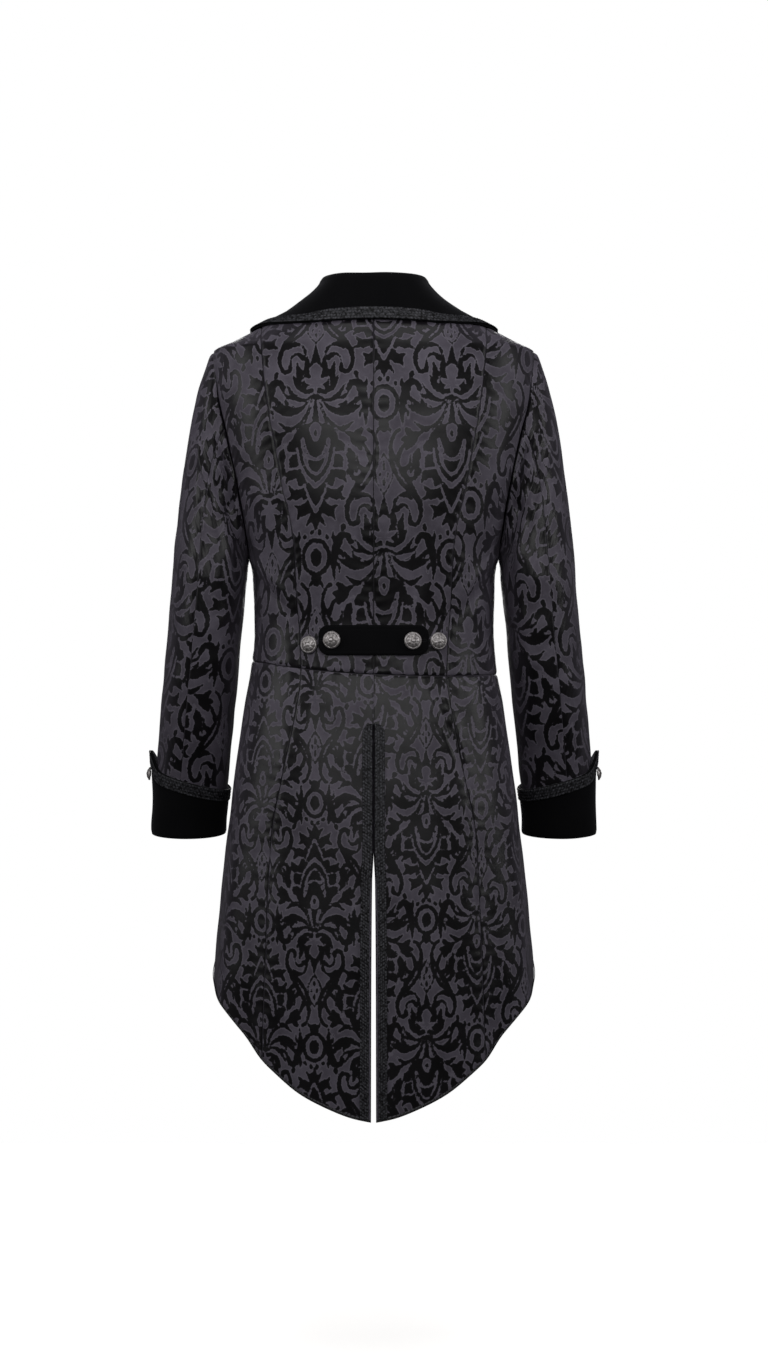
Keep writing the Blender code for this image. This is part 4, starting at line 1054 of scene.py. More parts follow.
def inner_side(rows, columns, closed):
    """The faces of the cloth's inner side and of its edges, on a copy of the grid's points.

    The inner side's cells are large, and those at an edge take in every point of that edge.
    """
    count = rows * columns
    last = rows if closed else rows - 1
    row_marks = np.unique(np.round(np.linspace(0, last, last // INNER_CELL + 2)).astype(int))
    column_marks = np.unique(np.round(np.linspace(0, columns - 1, columns // INNER_CELL + 2)).astype(int))
    faces = []

    def inner(row, column):
        """The number of a point of the inner side."""
        return count + row % rows * columns + column

    for a, b in zip(row_marks[:-1], row_marks[1:]):
        for c, d in zip(column_marks[:-1], column_marks[1:]):
            down = range(a, b) if c == 0 else (a,)
            across = range(c, d) if b == last and not closed else (c,)
            up = range(b, a, -1) if d == columns - 1 else (b,)
            back = range(d, c, -1) if a == 0 and not closed else (d,)
            ring = [inner(row, c) for row in down] + [inner(b, column) for column in across]
            ring = ring + [inner(row, d) for row in up] + [inner(a, column) for column in back]
            faces.append(ring[::-1])
    for row in range(last):
        after = (row + 1) % rows
        for column, step in ((0, 1), (columns - 1, -1)):
            near, far = row * columns + column, after * columns + column
            faces.append([near, far, far + count, near + count][::-step])
    for column in range(0 if closed else columns - 1):
        for row, step in ((0, -1), (rows - 1, 1)):
            near = row * columns + column
            faces.append([near, near + 1, near + 1 + count, near + count][::-step])
    return faces


def surface(name, points, outward, material, side=LEFT, closed=False, figure=None, cloth=None, wall=0):
    """A mesh object of a grid of points, its faces turned to the outward normals given.

    The figure is stored at each point, and the cloth's own two lengths as a map in metres. A wall
    gives the cloth its thickness, grown inwards, with a plain reverse.
    """
    rows, columns = points.shape[:2]
    outer = grid_faces(rows, columns, closed)
    flat, out = points.reshape(-1, 3), outward.reshape(-1, 3)
    turn = np.cross(flat[outer[:, 1]] - flat[outer[:, 0]], flat[outer[:, 3]] - flat[outer[:, 0]])
    facing = np.einsum("ij,ij->i", turn, out[outer[:, 0]]).sum() * side
    faces = outer.tolist()
    plain = np.zeros((rows, columns)) if figure is None else np.broadcast_to(figure, (rows, columns))
    marks = plain.ravel()
    lengths = None if cloth is None else cloth.reshape(-1, 2)
    if wall:
        flat = np.concatenate([flat, flat - out * wall])
        faces = faces + inner_side(rows, columns, closed)
        marks = np.concatenate([marks, np.full(marks.shape, REVERSE)])
        lengths = None if lengths is None else np.concatenate([lengths, lengths])
        used = np.unique(np.concatenate([np.array(face) for face in faces]))
        place = np.zeros(len(flat), int)
        place[used] = np.arange(len(used))
        faces = [place[face].tolist() for face in faces]
        flat, marks = flat[used], marks[used]
        lengths = None if lengths is None else lengths[used]
    if facing < 0:
        faces = [face[::-1] for face in faces]
    flat = flat * np.array([side, 1, 1]) * MILLIMETRE
    corners = np.concatenate([np.array(face) for face in faces])
    sizes = np.array([len(face) for face in faces])
    mesh = bpy.data.meshes.new(name)
    mesh.vertices.add(len(flat))
    mesh.vertices.foreach_set("co", flat.ravel())
    mesh.loops.add(len(corners))
    mesh.loops.foreach_set("vertex_index", corners)
    mesh.polygons.add(len(faces))
    mesh.polygons.foreach_set("loop_start", np.concatenate([[0], np.cumsum(sizes)[:-1]]))
    mesh.update(calc_edges=True)
    if figure is not None:
        stored = mesh.attributes.new("figure", "FLOAT", "POINT")
        stored.data.foreach_set("value", marks.astype(np.float32))
    if lengths is not None:
        weave = mesh.uv_layers.new(name="cloth")
        weave.data.foreach_set("uv", (lengths[corners] * MILLIMETRE).ravel())
    mesh.materials.append(material)
    mesh.shade_smooth()
    made = bpy.data.objects.new(name, mesh)
    bpy.context.scene.collection.objects.link(made)
    return made


def drawn_in(points, edges, gap):
    """A grid whose named edges stop short of the seam by the gap."""
    points = points.copy()
    ends = {"first": (0, 1, 0), "last": (-1, -2, 0), "top": (0, 1, 1), "bottom": (-1, -2, 1)}
    for name in edges:
        edge, beside, axis = ends[name]
        line = points[edge] if axis == 0 else points[:, edge]
        next_line = points[beside] if axis == 0 else points[:, beside]
        line[...] += unit(next_line - line) * gap
    return points


def sunk(points, side):
    """How far in a point is pressed where the right front passes under the left."""
    if side == LEFT:
        return np.zeros(points.shape[:-1])
    under = ease((UNDERLAP_FROM - points[..., 0]) / (UNDERLAP_FROM - UNDERLAP_TO))
    above = ease((points[..., 2] - UNDERLAP_LOW) / UNDERLAP_FADE)
    return UNDERLAP_SINK * under * (points[..., 1] < 0) * above


def body_surface(angle, z, side, table, edges, shown):
    """The body with its folds, swells and sewn edges, its normals, and the ways to its edges."""
    points, normals = body(angle, z), body_normal(angle, z)
    ways = edge_ways(points)
    world = points * np.array([side, 1, 1])
    lift = folds(world, table) + evenness(world) + seam_shape(ways, edges, shown) - sunk(points, side)
    return points + normals * np.asarray(lift)[..., None], normals


def lay(name, across, down):
    """The figure on a panel, from the way the cloth was laid for it."""
    scale, axis, crown, upright = LAYS[name]
    return figure_at(across - axis, upright * (down - way_down(np.array(crown))), scale)


# Each panel: its shape, its folds and the edges that are sewn.
PANEL_FORMS = {
    "back_centre": (back_centre, BACK_FOLDS, ("first", "last", "top", "bottom")),
    "back_side": (back_side, BACK_FOLDS, ("first", "last", "bottom")),
    "front": (front, FRONT_FOLDS, ("first", "bottom")),
    "tail_back": (tail_back, BACK_FOLDS, ("last", "top")),
    "tail_side": (tail_side, BACK_FOLDS, ("first", "top")),
}
ARMHOLE_EDGES = {"back_side": "last", "front": "first"}
# About how wide and long each panel is, and the size of its cells.
PANEL_SIZES = {
    "back_centre": (150, 505, 1.7),
    "back_side": (150, 465, 1.8),
    "front": (305, 500, 3.7),
    "tail_back": (150, 590, 1.75),
    "tail_side": (300, 510, 2.2),
}
# Rows lie closer together towards the shoulder on the panels that reach the armhole.
ARMHOLE_ROWS = 1.25
# The figure's value on the vent's pale stitches and on its bound edge, whose dark is partly its own black
# and partly painted shadow of the slit.
PALE, DARK_EDGE_AND_SLIT_SHADE = -1.5, 1.5


def painted_seam_shade(figure, ways, edges, wide):
    """The figure with a dark line of painted shade along each sewn edge, for the shadow in the seam's
    crease. Each edge has its own width.
    """
    inside = np.max([wide.get(name, SEAM_SHADE_WIDTH) - ways[name] for name in edges], axis=0)
    return np.maximum(figure, inside * SEAM_SHARPNESS)


def vent_shows(z):
    """0 above the vent's head and 1 below it."""
    return ease((VENT_TOP - z) / VENT_EASED)


def make_panel(form, side, word, material):
    """One panel of the body in fine cells, with the damask as its own piece of cloth carries it."""
    name = f"{form}_{word}"
    shape, table, edges = PANEL_FORMS[form]
    width, length, step = PANEL_SIZES[form]
    across = np.linspace(0, 1, int(width / step) + 1)
    down = np.linspace(0, 1, int(length / step) + 1)
    if form in ARMHOLE_EDGES:
        down = down**ARMHOLE_ROWS
    angle, z = shape(side, across, down)
    shown, wide = {}, {}
    if form.startswith("tail"):
        shown = {"first": TAIL_SEAM_SHOWN, "last": TAIL_SEAM_SHOWN}
    if form in ARMHOLE_EDGES:
        shown = {ARMHOLE_EDGES[form]: armhole_shows(z)}
        wide = {ARMHOLE_EDGES[form]: armhole_shade_width(z)}
    points, normals = body_surface(angle, z, side, table, edges, shown)
    points = drawn_in(points, edges, SEAM_GAP)
    cloth = np.stack([side * girth(angle, z), way_down(z)], -1)
    ways = edge_ways(points)
    drawn = lay(name, cloth[..., 0], cloth[..., 1])
    if form.startswith("tail"):
        drawn = drawn + TAIL_BOLDER
    figure = painted_seam_shade(drawn, ways, edges, wide)
    if form == "tail_back":
        from_vent = ways["first"]
        figure = np.where((z < VENT_PARTS) & (from_vent < VENT_STITCHES[1]), PALE, figure)
        # The dark edge beside the vent: partly its own black, partly painted shadow of the slit.
        figure = np.where((z < VENT_TOP) & (from_vent < VENT_STITCHES[0]), DARK_EDGE_AND_SLIT_SHADE, figure)
        groove = VENT_GROOVE * vent_shows(z) * np.exp(-((from_vent / VENT_GROOVE) ** 2))
        points = points - normals * groove[..., None]
    made = surface(
        f"{name}_cloth", points, normals, material, side, figure=figure, cloth=cloth, wall=CLOTH_WALL
    )
    return declare(made, name)


def declare(piece, node):
    """Hides the solid of the node a piece stands for, and hangs the piece on the coat so that it moves
    with it.
    """
    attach(piece, "root")
    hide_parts(*([node] if isinstance(node, str) else node))
    return piece


SLEEVE_LENGTH = 655.0
SLEEVE_EDGES = ("first", "last", "top")
SLEEVE_WAVE = 1.4
# Rows of the sleeve's head and of the arm below it, closer together near the armhole.
HEAD_ROWS, ARM_ROWS = 155, 165
HEAD_ROWS_CLOSER = 1.15
UPPER_COLUMNS, UNDER_COLUMNS = 100, 90


def make_sleeve(part, side, word, material):
    """The upper or under sleeve, its cloth measured from the hind-arm seam and from the wrist."""
    name = f"sleeve_{part}_{word}"
    head = np.linspace(0, 1, HEAD_ROWS)[:-1] ** HEAD_ROWS_CLOSER
    way = np.concatenate([head, np.linspace(1, 2, ARM_ROWS)])
    if part == "upper":
        turn = np.linspace(SEAM_FRONT, SEAM_BACK, UPPER_COLUMNS)[:, None]
    else:
        turn = np.linspace(SEAM_BACK, SEAM_FRONT + 2 * math.pi, UNDER_COLUMNS)[:, None]
    smooth_points, normals = sleeve(turn, way), sleeve_normal(turn, way)
    ways = edge_ways(smooth_points)
    points = creased_sleeve(turn, way, CREASES, SLEEVE_FOLDS)
    world = points * np.array([side, 1, 1])
    top_shown = armhole_shows(points[..., 2])
    shown = {"first": SLEEVE_SEAM_SHOWN, "last": SLEEVE_SEAM_SHOWN, "top": top_shown}
    wide = {"first": SLEEVE_SEAM_SHADE_WIDTH, "last": SLEEVE_SEAM_SHADE_WIDTH, "top": armhole_shade_width(points[..., 2])}
    lift = seam_shape(ways, SLEEVE_EDGES, shown) + evenness(world * SLEEVE_WAVE)
    points = drawn_in(points + normals * lift[..., None], SLEEVE_EDGES, SEAM_GAP)
    round_arm = -ways["last"] if part == "upper" else ways["first"]
    cloth = np.stack([side * round_arm, SLEEVE_LENGTH - ways["bottom"]], -1)
    figure = painted_seam_shade(lay(name, cloth[..., 0], cloth[..., 1]), ways, SLEEVE_EDGES, wide)
    made = surface(
        f"{name}_cloth", points, normals, material, side, figure=figure, cloth=cloth, wall=CLOTH_WALL
    )
    return declare(made, name)


CUFF_HIGHEST = CUFF_LOW + CUFF_SLANT + CUFF_POINT
CUFF_COLUMNS, CUFF_ROWS, CUFF_BRAID_COLUMNS = 132, 31, 320
CUFF_ROWS_CLOSER = 0.9
# Velvet's own swells: how much shorter and stronger they are on the cuffs, collar and lapels.
CUFF_WAVE = (1.5, 1.3)
COLLAR_WAVE = (1.6, 0.8)
LAPEL_WAVE = (1.6, 0.5)
COLLAR_ROLLED = 0.8


def cuff_surface(turn, height):
    """A point of the cuff's outer side: the sleeve moved out, and out again at its point."""
    z = CUFF_END - CUFF_TILT * np.sin(turn) + height
    way = 1 + (z - ARM_TOP) / (SLEEVE_END - ARM_TOP)
    around = turn + 0 * way
    off = np.remainder(around + math.pi, 2 * math.pi) - math.pi
    flare = CUFF_FLARE * np.exp(-((off / CUFF_POINT_SPREAD) ** 2)) * (height / CUFF_HIGHEST) ** 3
    normals = sleeve_normal(around, way)
    return sleeve(around, way) + normals * (CUFF_GAP + VELVET + flare)[..., None], normals


def make_cuff(side, word, velvet, braid_cord):
    """The turned-back cuff, rolled over at both its edges, with the braid along the upper one."""
    turn = np.linspace(0, 2 * math.pi, CUFF_COLUMNS + 1)[:-1, None]
    rise = cuff_rise(turn)
    height = rise * np.linspace(0, 1, CUFF_ROWS) ** CUFF_ROWS_CLOSER
    points, normals = cuff_surface(turn, height)
    rolled = np.exp(-((height / EDGE_ROUND) ** 2)) + np.exp(-(((rise - height) / EDGE_ROUND) ** 2))
    world = points * np.array([side, 1, 1])
    shorter, stronger = CUFF_WAVE
    points = points + normals * (stronger * evenness(world * shorter) - rolled)[..., None]
    cuff = surface(f"cuff_{word}_velvet", points, normals, velvet, side, closed=True, wall=VELVET_WALL)
    declare(cuff, f"cuff_{word}")
    turn = np.linspace(0, 2 * math.pi, CUFF_BRAID_COLUMNS + 1)[:-1, None]
    share = np.linspace(0, 1, BRAID_POINTS)
    points, normals = cuff_surface(turn, cuff_rise(turn) - BRAID_WIDTH * (1 - share))
    braid = make_braid(f"cuff_braid_{word}", points, normals, side, braid_cord, closed=True)
    return cuff, braid


BRAID_PITCH = 4.2
BRAID_COLUMNS = 4
BRAID_POINTS = 13
BRAID_RISE = 1.25
# How low the braid lies between knops, how blunt a knop is along and across, and its lean.
KNOP_LOW = 0.12
KNOP_ALONG = 0.8
KNOP_ACROSS = 0.5
KNOP_LEAN = 0.35
KNOP_EDGE = 0.03


def plait(along, share):
    """Columns of small knops side by side, each column half a pitch further on than its neighbour."""
    column = np.clip(np.floor(share * BRAID_COLUMNS), 0, BRAID_COLUMNS - 1)
    place = share * BRAID_COLUMNS - column
    turn = along / BRAID_PITCH + 0.5 * column + KNOP_LEAN * place
    knop = np.abs(np.cos(math.pi * turn)) ** KNOP_ALONG
    ends = np.sin(math.pi * np.clip(place, KNOP_EDGE, 1 - KNOP_EDGE)) ** KNOP_ACROSS
    return BRAID_RISE * (KNOP_LOW + (1 - KNOP_LOW) * knop) * ends


def make_braid(name, points, normals, side, material, closed=False):
    """A plaited braid laid on a grid of points that run along it and across it."""
    centre = points[:, points.shape[1] // 2]
    steps = np.linalg.norm(np.diff(centre, axis=0), axis=1)
    along = np.concatenate([[0], np.cumsum(steps)])[:, None]
    if closed:
        total = along[-1, 0] + np.linalg.norm(centre[-1] - centre[0])
        along = along * (round(total / BRAID_PITCH) * BRAID_PITCH / total)
    share = np.linspace(0, 1, points.shape[1])
    height = plait(along, share) + REST + BRAID_WALL
    raised = points + normals * height[..., None]
    braid = surface(
        f"{name}_cord",
        raised,
        normals,
        material,
        side,
        closed=closed,
        # The knops' height, stored as the figure, drives the braid's painted highlight and shade.
        figure=plait(along, share) / BRAID_RISE,
        wall=BRAID_WALL,
    )
    return declare(braid, name)


def along_edge(points, normals, width, cells):
    """The strip of a grid within a width of its last column, as fine cells across."""
    away = edge_ways(points)["bottom"]
    wanted = width * np.linspace(1, 0, cells + 1)
    before = (away[:, None, :] > wanted[None, :, None]).sum(-1) - 1
    before = np.clip(before, 0, points.shape[1] - 2)
    start = np.take_along_axis(away, before, 1)
    stop = np.take_along_axis(away, before + 1, 1)
    share = np.clip((start - wanted) / np.maximum(start - stop, 1e-6), 0, 1)[..., None]

    def mixed(values):
        """The values at the wanted ways, between the two columns beside each."""
        first = np.take_along_axis(values, before[..., None], 1)
        second = np.take_along_axis(values, before[..., None] + 1, 1)
        return first + (second - first) * share

    return mixed(points), unit(mixed(normals))


def finer(points, factor):
    """A grid with more rows, each between two rows mixed by a smooth line through the rows."""
    count = (points.shape[0] - 1) * factor + 1
    flat = line_through(points.reshape(points.shape[0], -1), count)
    return flat.reshape(count, *points.shape[1:])


def vent_braid(side, word, material):
    """The braid beside the vent's bound edge: its head is rounded off to the outside."""
    bottom = hem_height(0.0) + BINDING_WIDTH
    z = np.linspace(VENT_TOP, bottom, VENT_ROWS)[:, None]
    head = np.clip((VENT_TOP - z) / VENT_HEAD, 0.0, 1.0)
    rounded = HEAD_NARROWEST + (1 - HEAD_NARROWEST) * np.sqrt(1 - (1 - head) ** 2)
    wide = (VENT_BRAID_WIDTH - VENT_EDGE) * rounded
    edge = VENT_EDGE_SHUT + (VENT_EDGE - VENT_EDGE_SHUT) * ease((VENT_PARTS - z) / VENT_EDGE_GROWS)
    wide = wide + VENT_EDGE - edge
    half_gap = read(VENT, VENT_COLUMNS, "half_gap", z) - VENT_CLOSING
    x = half_gap + edge + wide * np.linspace(0, 1, BRAID_POINTS)
    angle = back_angle(x, z + 0 * x)
    points, normals = body(angle, z + 0 * x), body_normal(angle, z + 0 * x)
    world = points * np.array([side, 1, 1])
    points = points + normals * (folds(world, BACK_FOLDS) + evenness(world))[..., None]
    return make_braid(f"vent_braid_{word}", points, normals, side, material)


# The tape's swell over the share of its width that wraps the edge, its height off the cloth, and
# its stitches: place and half width as shares of the tape, length and height in millimetres.
BINDING_BULGE = 0.55
BINDING_BULGE_SHARE = 0.62
BINDING_LIFT = 0.5
STITCH_PLACE = 0.80
STITCH_SPREAD = 0.09
STITCH_LENGTH = 2.8
STITCH_RISE = 0.25
BINDING_COLUMNS, HEM_ROWS, CUTAWAY_ROWS = 10, 100, 300
CUTAWAY_START = 0.001
# About how long a tail's panels are down to the hem, and how wide the side one is.
TAIL_BACK_DROP, TAIL_SIDE_DROP, TAIL_SIDE_WIDE = 580.0, 430.0, 300.0


def make_binding(name, angle, z, side, material):
    """A narrow tape along an edge, a little rounded, with a run of stitches along its inner side."""
    points, normals = body(angle, z), body_normal(angle, z)
    world = points * np.array([side, 1, 1])
    share = np.linspace(0, 1, points.shape[1])
    centre = points[:, -1]
    steps = np.linalg.norm(np.diff(centre, axis=0), axis=1)
    along = np.concatenate([[0], np.cumsum(steps)])[:, None]
    swell = np.sin(math.pi * np.clip(share / BINDING_BULGE_SHARE, 0, 1)) ** 0.5
    dash = np.clip(np.cos(along / STITCH_LENGTH * 2 * math.pi) * 3 + 1.6, 0, 1)
    stitch = dash * np.exp(-(((share - STITCH_PLACE) / STITCH_SPREAD) ** 2))
    lift = folds(world, BACK_FOLDS) + evenness(world) + REST + BINDING_LIFT
    lift = lift + BINDING_BULGE * swell + STITCH_RISE * stitch
    raised = points + normals * lift[..., None]
    tape = surface(f"{name}_tape", raised, normals, material, side, figure=stitch, wall=BINDING_WALL)
    return declare(tape, name)


def make_bindings(side, word, material):
    """The tape along the hem, over both panels of a tail, and the tape up the cutaway edge."""
    inside = np.linspace(0, 1, BINDING_COLUMNS)
    across = np.linspace(0, 1, HEM_ROWS)
    hem = []
    for shape, drop in ((tail_back, TAIL_BACK_DROP), (tail_side, TAIL_SIDE_DROP)):
        down = 1 - BINDING_WIDTH / drop * inside
        angle, z = shape(side, across[1:] if hem else across, down)
        hem.append((angle, z))
    angle, z = (np.concatenate([first, second]) for first, second in zip(*hem))
    tapes = [make_binding(f"hem_binding_{word}", angle, z, side, material)]
    down = np.linspace(CUTAWAY_START, 1, CUTAWAY_ROWS)
    angle, z = tail_side(side, 1 - BINDING_WIDTH / TAIL_SIDE_WIDE * inside, down)
    tapes.append(make_binding(f"cutaway_binding_{word}", angle.T, z.T, side, material))
    return tapes


COLLAR_PLACES, COLLAR_ROWS = 201, 60
COLLAR_FALL_ROWS = 22
COLLAR_ROWS_CLOSER = 1.1
LAPEL_LONG, LAPEL_WIDE = 161, 41
BRAID_FINER = 2


def make_collar(velvet, braid_cord):
    """The collar in fine cells, its outer edge rolled over, with the braid along that edge."""
    places = np.linspace(-1, 1, COLLAR_PLACES)
    shares = np.linspace(0, 1, COLLAR_FALL_ROWS) ** COLLAR_ROWS_CLOSER
    points = collar_grid(places, shares)
    fine = line_through(points.transpose(1, 0, 2).reshape(points.shape[1], -1), COLLAR_ROWS)
    points = fine.reshape(COLLAR_ROWS, COLLAR_PLACES, 3).transpose(1, 0, 2)
    normals = grid_normals(points)
    normals = normals * np.sign(normals[:, -COLLAR_ROWS // 3 :, 2].mean())
    away = edge_ways(points)["bottom"]
    rolled = np.exp(-((away / EDGE_ROUND) ** 2))
    shorter, stronger = COLLAR_WAVE
    lift = stronger * evenness(points * shorter) - COLLAR_ROLLED * rolled
    lifted = points + normals * lift[..., None]
    collar = surface("collar_velvet", lifted, normals, velvet, wall=VELVET_WALL)
    declare(collar, "collar")
    strip, strip_normals = along_edge(points, normals, BRAID_WIDTH, BRAID_POINTS - 1)
    strip, strip_normals = finer(strip, BRAID_FINER), finer(strip_normals, BRAID_FINER)
    return collar, make_braid("collar_braid", strip, unit(strip_normals), LEFT, braid_cord)


def make_lapel(side, word, velvet, braid_cord):
    """The lapel on the front: its outline evened out into fine cells along and across."""
    flat = lapel_grid(side)
    rows = line_through(flat.transpose(1, 0, 2).reshape(flat.shape[1], -1), LAPEL_LONG)
    rows = rows.reshape(LAPEL_LONG, flat.shape[0], 2).transpose(1, 0, 2)
    inner, edge = rows[0], rows[-1]
    share = np.linspace(0, 1, LAPEL_WIDE)
    flat = inner[None] + (edge - inner)[None] * share[:, None, None]
    x, z = flat[..., 0], flat[..., 1]
    points = on_front(x, z, np.full_like(x, LAPEL_LIFT + VELVET))
    normals = body_normal(front_angle(x, z), z)
    world = points * np.array([side, 1, 1])
    shorter, stronger = LAPEL_WAVE
    lifted = points + normals * (stronger * evenness(world * shorter))[..., None]
    lapel = surface(f"lapel_{word}_velvet", lifted, normals, velvet, side, wall=VELVET_WALL)
    declare(lapel, f"lapel_{word}")
    strip, strip_normals = along_edge(
        points.transpose(1, 0, 2), normals.transpose(1, 0, 2), BRAID_WIDTH, BRAID_POINTS - 1
    )
    strip, strip_normals = finer(strip, BRAID_FINER), finer(strip_normals, BRAID_FINER)
    return lapel, make_braid(f"lapel_braid_{word}", strip, unit(strip_normals), side, braid_cord)


BELT_STEPS = (150, 44)
BELT_ENDS_CLOSER = math.pi / 2 * 0.97
# How fast the velvet rises from the belt's rim, and the sunk line of sewing inside it.
BELT_RIM = 1.6
BELT_SEWING_IN = 5.0
BELT_SEWING_SPREAD = 0.8
BELT_SEWING_SUNK = 0.22
BUTTONHOLE_LENGTH = 17.0
# The worked lip round a buttonhole: how far off, how wide and how high, and the slit's own depth.
LIP_AWAY = 1.3
LIP_SPREAD = 0.7
LIP_RISE = 0.45
SLIT_SUNK = 0.9
BUTTONHOLES = ((61.0, -457.5), (-57.5, -458.5))


def make_belt(material):
    """The half belt: straight long edges, round corners, and a soft edge where the velvet turns."""
    across, down = (np.linspace(-1, 1, n) for n in BELT_STEPS)
    x = (BELT_HALF_LENGTH * np.sin(across * BELT_ENDS_CLOSER) / math.sin(BELT_ENDS_CLOSER))[:, None]
    inset = np.clip(np.abs(x) - (BELT_HALF_LENGTH - BELT_CORNER), 0, BELT_CORNER)
    half = BELT_HALF_WIDTH - BELT_CORNER + np.sqrt(BELT_CORNER**2 - inset**2)
    z = BELT_HEIGHT + half * down
    x = x + 0 * z
    angle = back_angle(x, z)
    points, normals = body(angle, z), body_normal(angle, z)
    ways = edge_ways(points)
    rim = np.minimum(np.minimum(ways["top"], ways["bottom"]), np.minimum(ways["first"], ways["last"]))
    lift = BELT_REST + VELVET_WALL + (BELT - VELVET_WALL) * (1 - np.exp(-rim / BELT_RIM))
    lift = lift - BELT_SEWING_SUNK * np.exp(-(((rim - BELT_SEWING_IN) / BELT_SEWING_SPREAD) ** 2))
    stitch = np.zeros_like(z)
    for hole_x, hole_z in BUTTONHOLES:
        reach = np.abs(x - hole_x) - BUTTONHOLE_LENGTH / 2
        off = np.hypot(np.maximum(reach, 0), z - hole_z)
        lip = np.exp(-(((off - LIP_AWAY) / LIP_SPREAD) ** 2))
        lift = lift + LIP_RISE * lip - SLIT_SUNK * np.exp(-((off / LIP_SPREAD) ** 2))
        stitch = np.maximum(stitch, lip)
    raised = points + normals * lift[..., None]
    belt = surface("half_belt_velvet", raised, normals, material, figure=stitch, wall=VELVET_WALL)
    return declare(belt, "half_belt")


# A button's outline from the top of its dome to its shank, and its relief, all in shares of its
# radius. Columns: distance from the axis, height.
BUTTON_DOME = (
    (0.0, 0.66),
    (0.20, 0.65),
    (0.42, 0.60),
    (0.62, 0.51),
    (0.76, 0.42),
    (0.86, 0.36),
    (0.93, 0.31),
    (0.98, 0.24),
    (1.0, 0.17),
    (0.96, 0.11),
    (0.86, 0.09),
    (0.40, 0.09),
    (0.38, 0.0),
    (0.0, 0.0),
)
PETALS = 9
BUTTON_ROWS, BUTTON_COLUMNS = 44, 45
DOME_SHARE = 0.58
# The ring of petals, and the boss and plain rings. Columns: place, half width, height.
PETAL_RING = (0.52, 0.20, 0.018)
BUTTON_RINGS = (
    (0.0, 0.16, 0.05),
    (0.25, 0.05, -0.035),
    (0.88, 0.05, 0.03),
    (0.78, 0.04, -0.03),
)
RELIEF_FULL = 0.05
FRONT_BUTTON_X = -1.0
FRONT_BUTTON_REST = 0.2
CUFF_BUTTON_TURN = 0.06
CUFF_BUTTON_BELOW = 6.0
CUFF_BUTTON_REST = 1.5


def make_button(name, place, normal, radius, side, material):
    """A domed metal button on a short shank, with a ring of worn petals round a small boss."""
    profile = line_through(BUTTON_DOME, BUTTON_ROWS)
    r, h = profile[:, 0], profile[:, 1]
    turn = np.linspace(0, 2 * math.pi, BUTTON_COLUMNS + 1)[:-1][:, None]
    top = np.linspace(0, 1, BUTTON_ROWS) < DOME_SHARE
    middle, spread, rise = PETAL_RING
    petals = np.exp(-(((r - middle) / spread) ** 2)) * np.cos(PETALS * turn) * rise
    rings = sum(rise * np.exp(-(((r - middle) / spread) ** 2)) for middle, spread, rise in BUTTON_RINGS)
    worked = (petals + rings) * top
    height = h + worked
    axes = np.array(Vector(normal).to_track_quat("Z", "Y").to_matrix())
    local = np.stack([r * np.cos(turn), r * np.sin(turn), height + 0 * turn], -1) * radius
    points = local @ axes.T + place
    outward = np.stack([r * np.cos(turn) + 0 * turn, r * np.sin(turn), height - 0.2 + 0 * turn], -1)
    relief = worked / RELIEF_FULL
    made = surface(f"{name}_metal", points, outward @ axes.T, material, side, closed=True, figure=relief)
    return declare(made, name)


def make_buttons(material):
    """Every button: on and beside the half belt, down the front and on the cuffs."""
    made = []
    for name, x, z, on_belt in BELT_BUTTONS:
        angle, height = back_angle(np.array(x), np.array(z)), np.array(z)
        normal = body_normal(angle, height)
        lift = REST + (BELT_REST + BELT if on_belt else REST)
        place = body(angle, height) + normal * lift
        made.append(make_button(name, place, normal, BUTTON_RADIUS, LEFT, material))
    for number, z in enumerate(FRONT_BUTTON_HEIGHTS, 1):
        x, height = np.array(FRONT_BUTTON_X), np.array(z)
        place = on_front(x, height, REST + FRONT_BUTTON_REST)
        normal = body_normal(front_angle(x, height), height)
        made.append(make_button(f"front_button_{number}", place, normal, BUTTON_RADIUS, LEFT, material))
    for side, word in SIDES:
        below = BRAID_WIDTH + CUFF_BUTTON_RADIUS + CUFF_BUTTON_BELOW
        place, normal = cuff_surface(np.array(CUFF_BUTTON_TURN), np.array(cuff_rise(0.0) - below))
        place = place + normal * CUFF_BUTTON_REST * REST
        name = f"cuff_button_{word}"
        made.append(make_button(name, place, normal, CUFF_BUTTON_RADIUS, side, material))
    return made


# Scales of the noise textures: a thousand over the size in millimetres of what each one draws.
# Warp yarns, two or three together at 1.1, as one of 0.3 is too fine to show.
YARN_NOISE = 900.0
# Steps of the weave at a figure's edge, drawn 4 long, as the real 1 is too fine to show.
TEETH_NOISE = 250.0
# Patches of handling and wear about 60 across.
WEAR_NOISE = 16.0
# Strokes in brushed pile about 40 across, and its tufts at 0.7.
BRUSHED_NOISE = 26.0
PILE_NOISE = 1400.0
# Rayon strands at 0.9, and the painted highlight that single knops of 2.8 catch.
STRAND_NOISE = 1100.0
KNOP_NOISE = 360.0
# Mottling of cast pewter at 2.4.
PEWTER_NOISE = 420.0
# Diagonal ribs of the satin, whose bands lie 1.7 apart, as the real half a millimetre doesn't show.
RIB_WAVE = 260.0


def linear(code):
    """The linear colour of an sRGB hex code."""
    parts = np.array([int(code[i : i + 2], 16) / 255 for i in (1, 3, 5)])
    light = np.where(parts <= 0.04045, parts / 12.92, ((parts + 0.055) / 1.055) ** 2.4)
    return (*light.tolist(), 1.0)


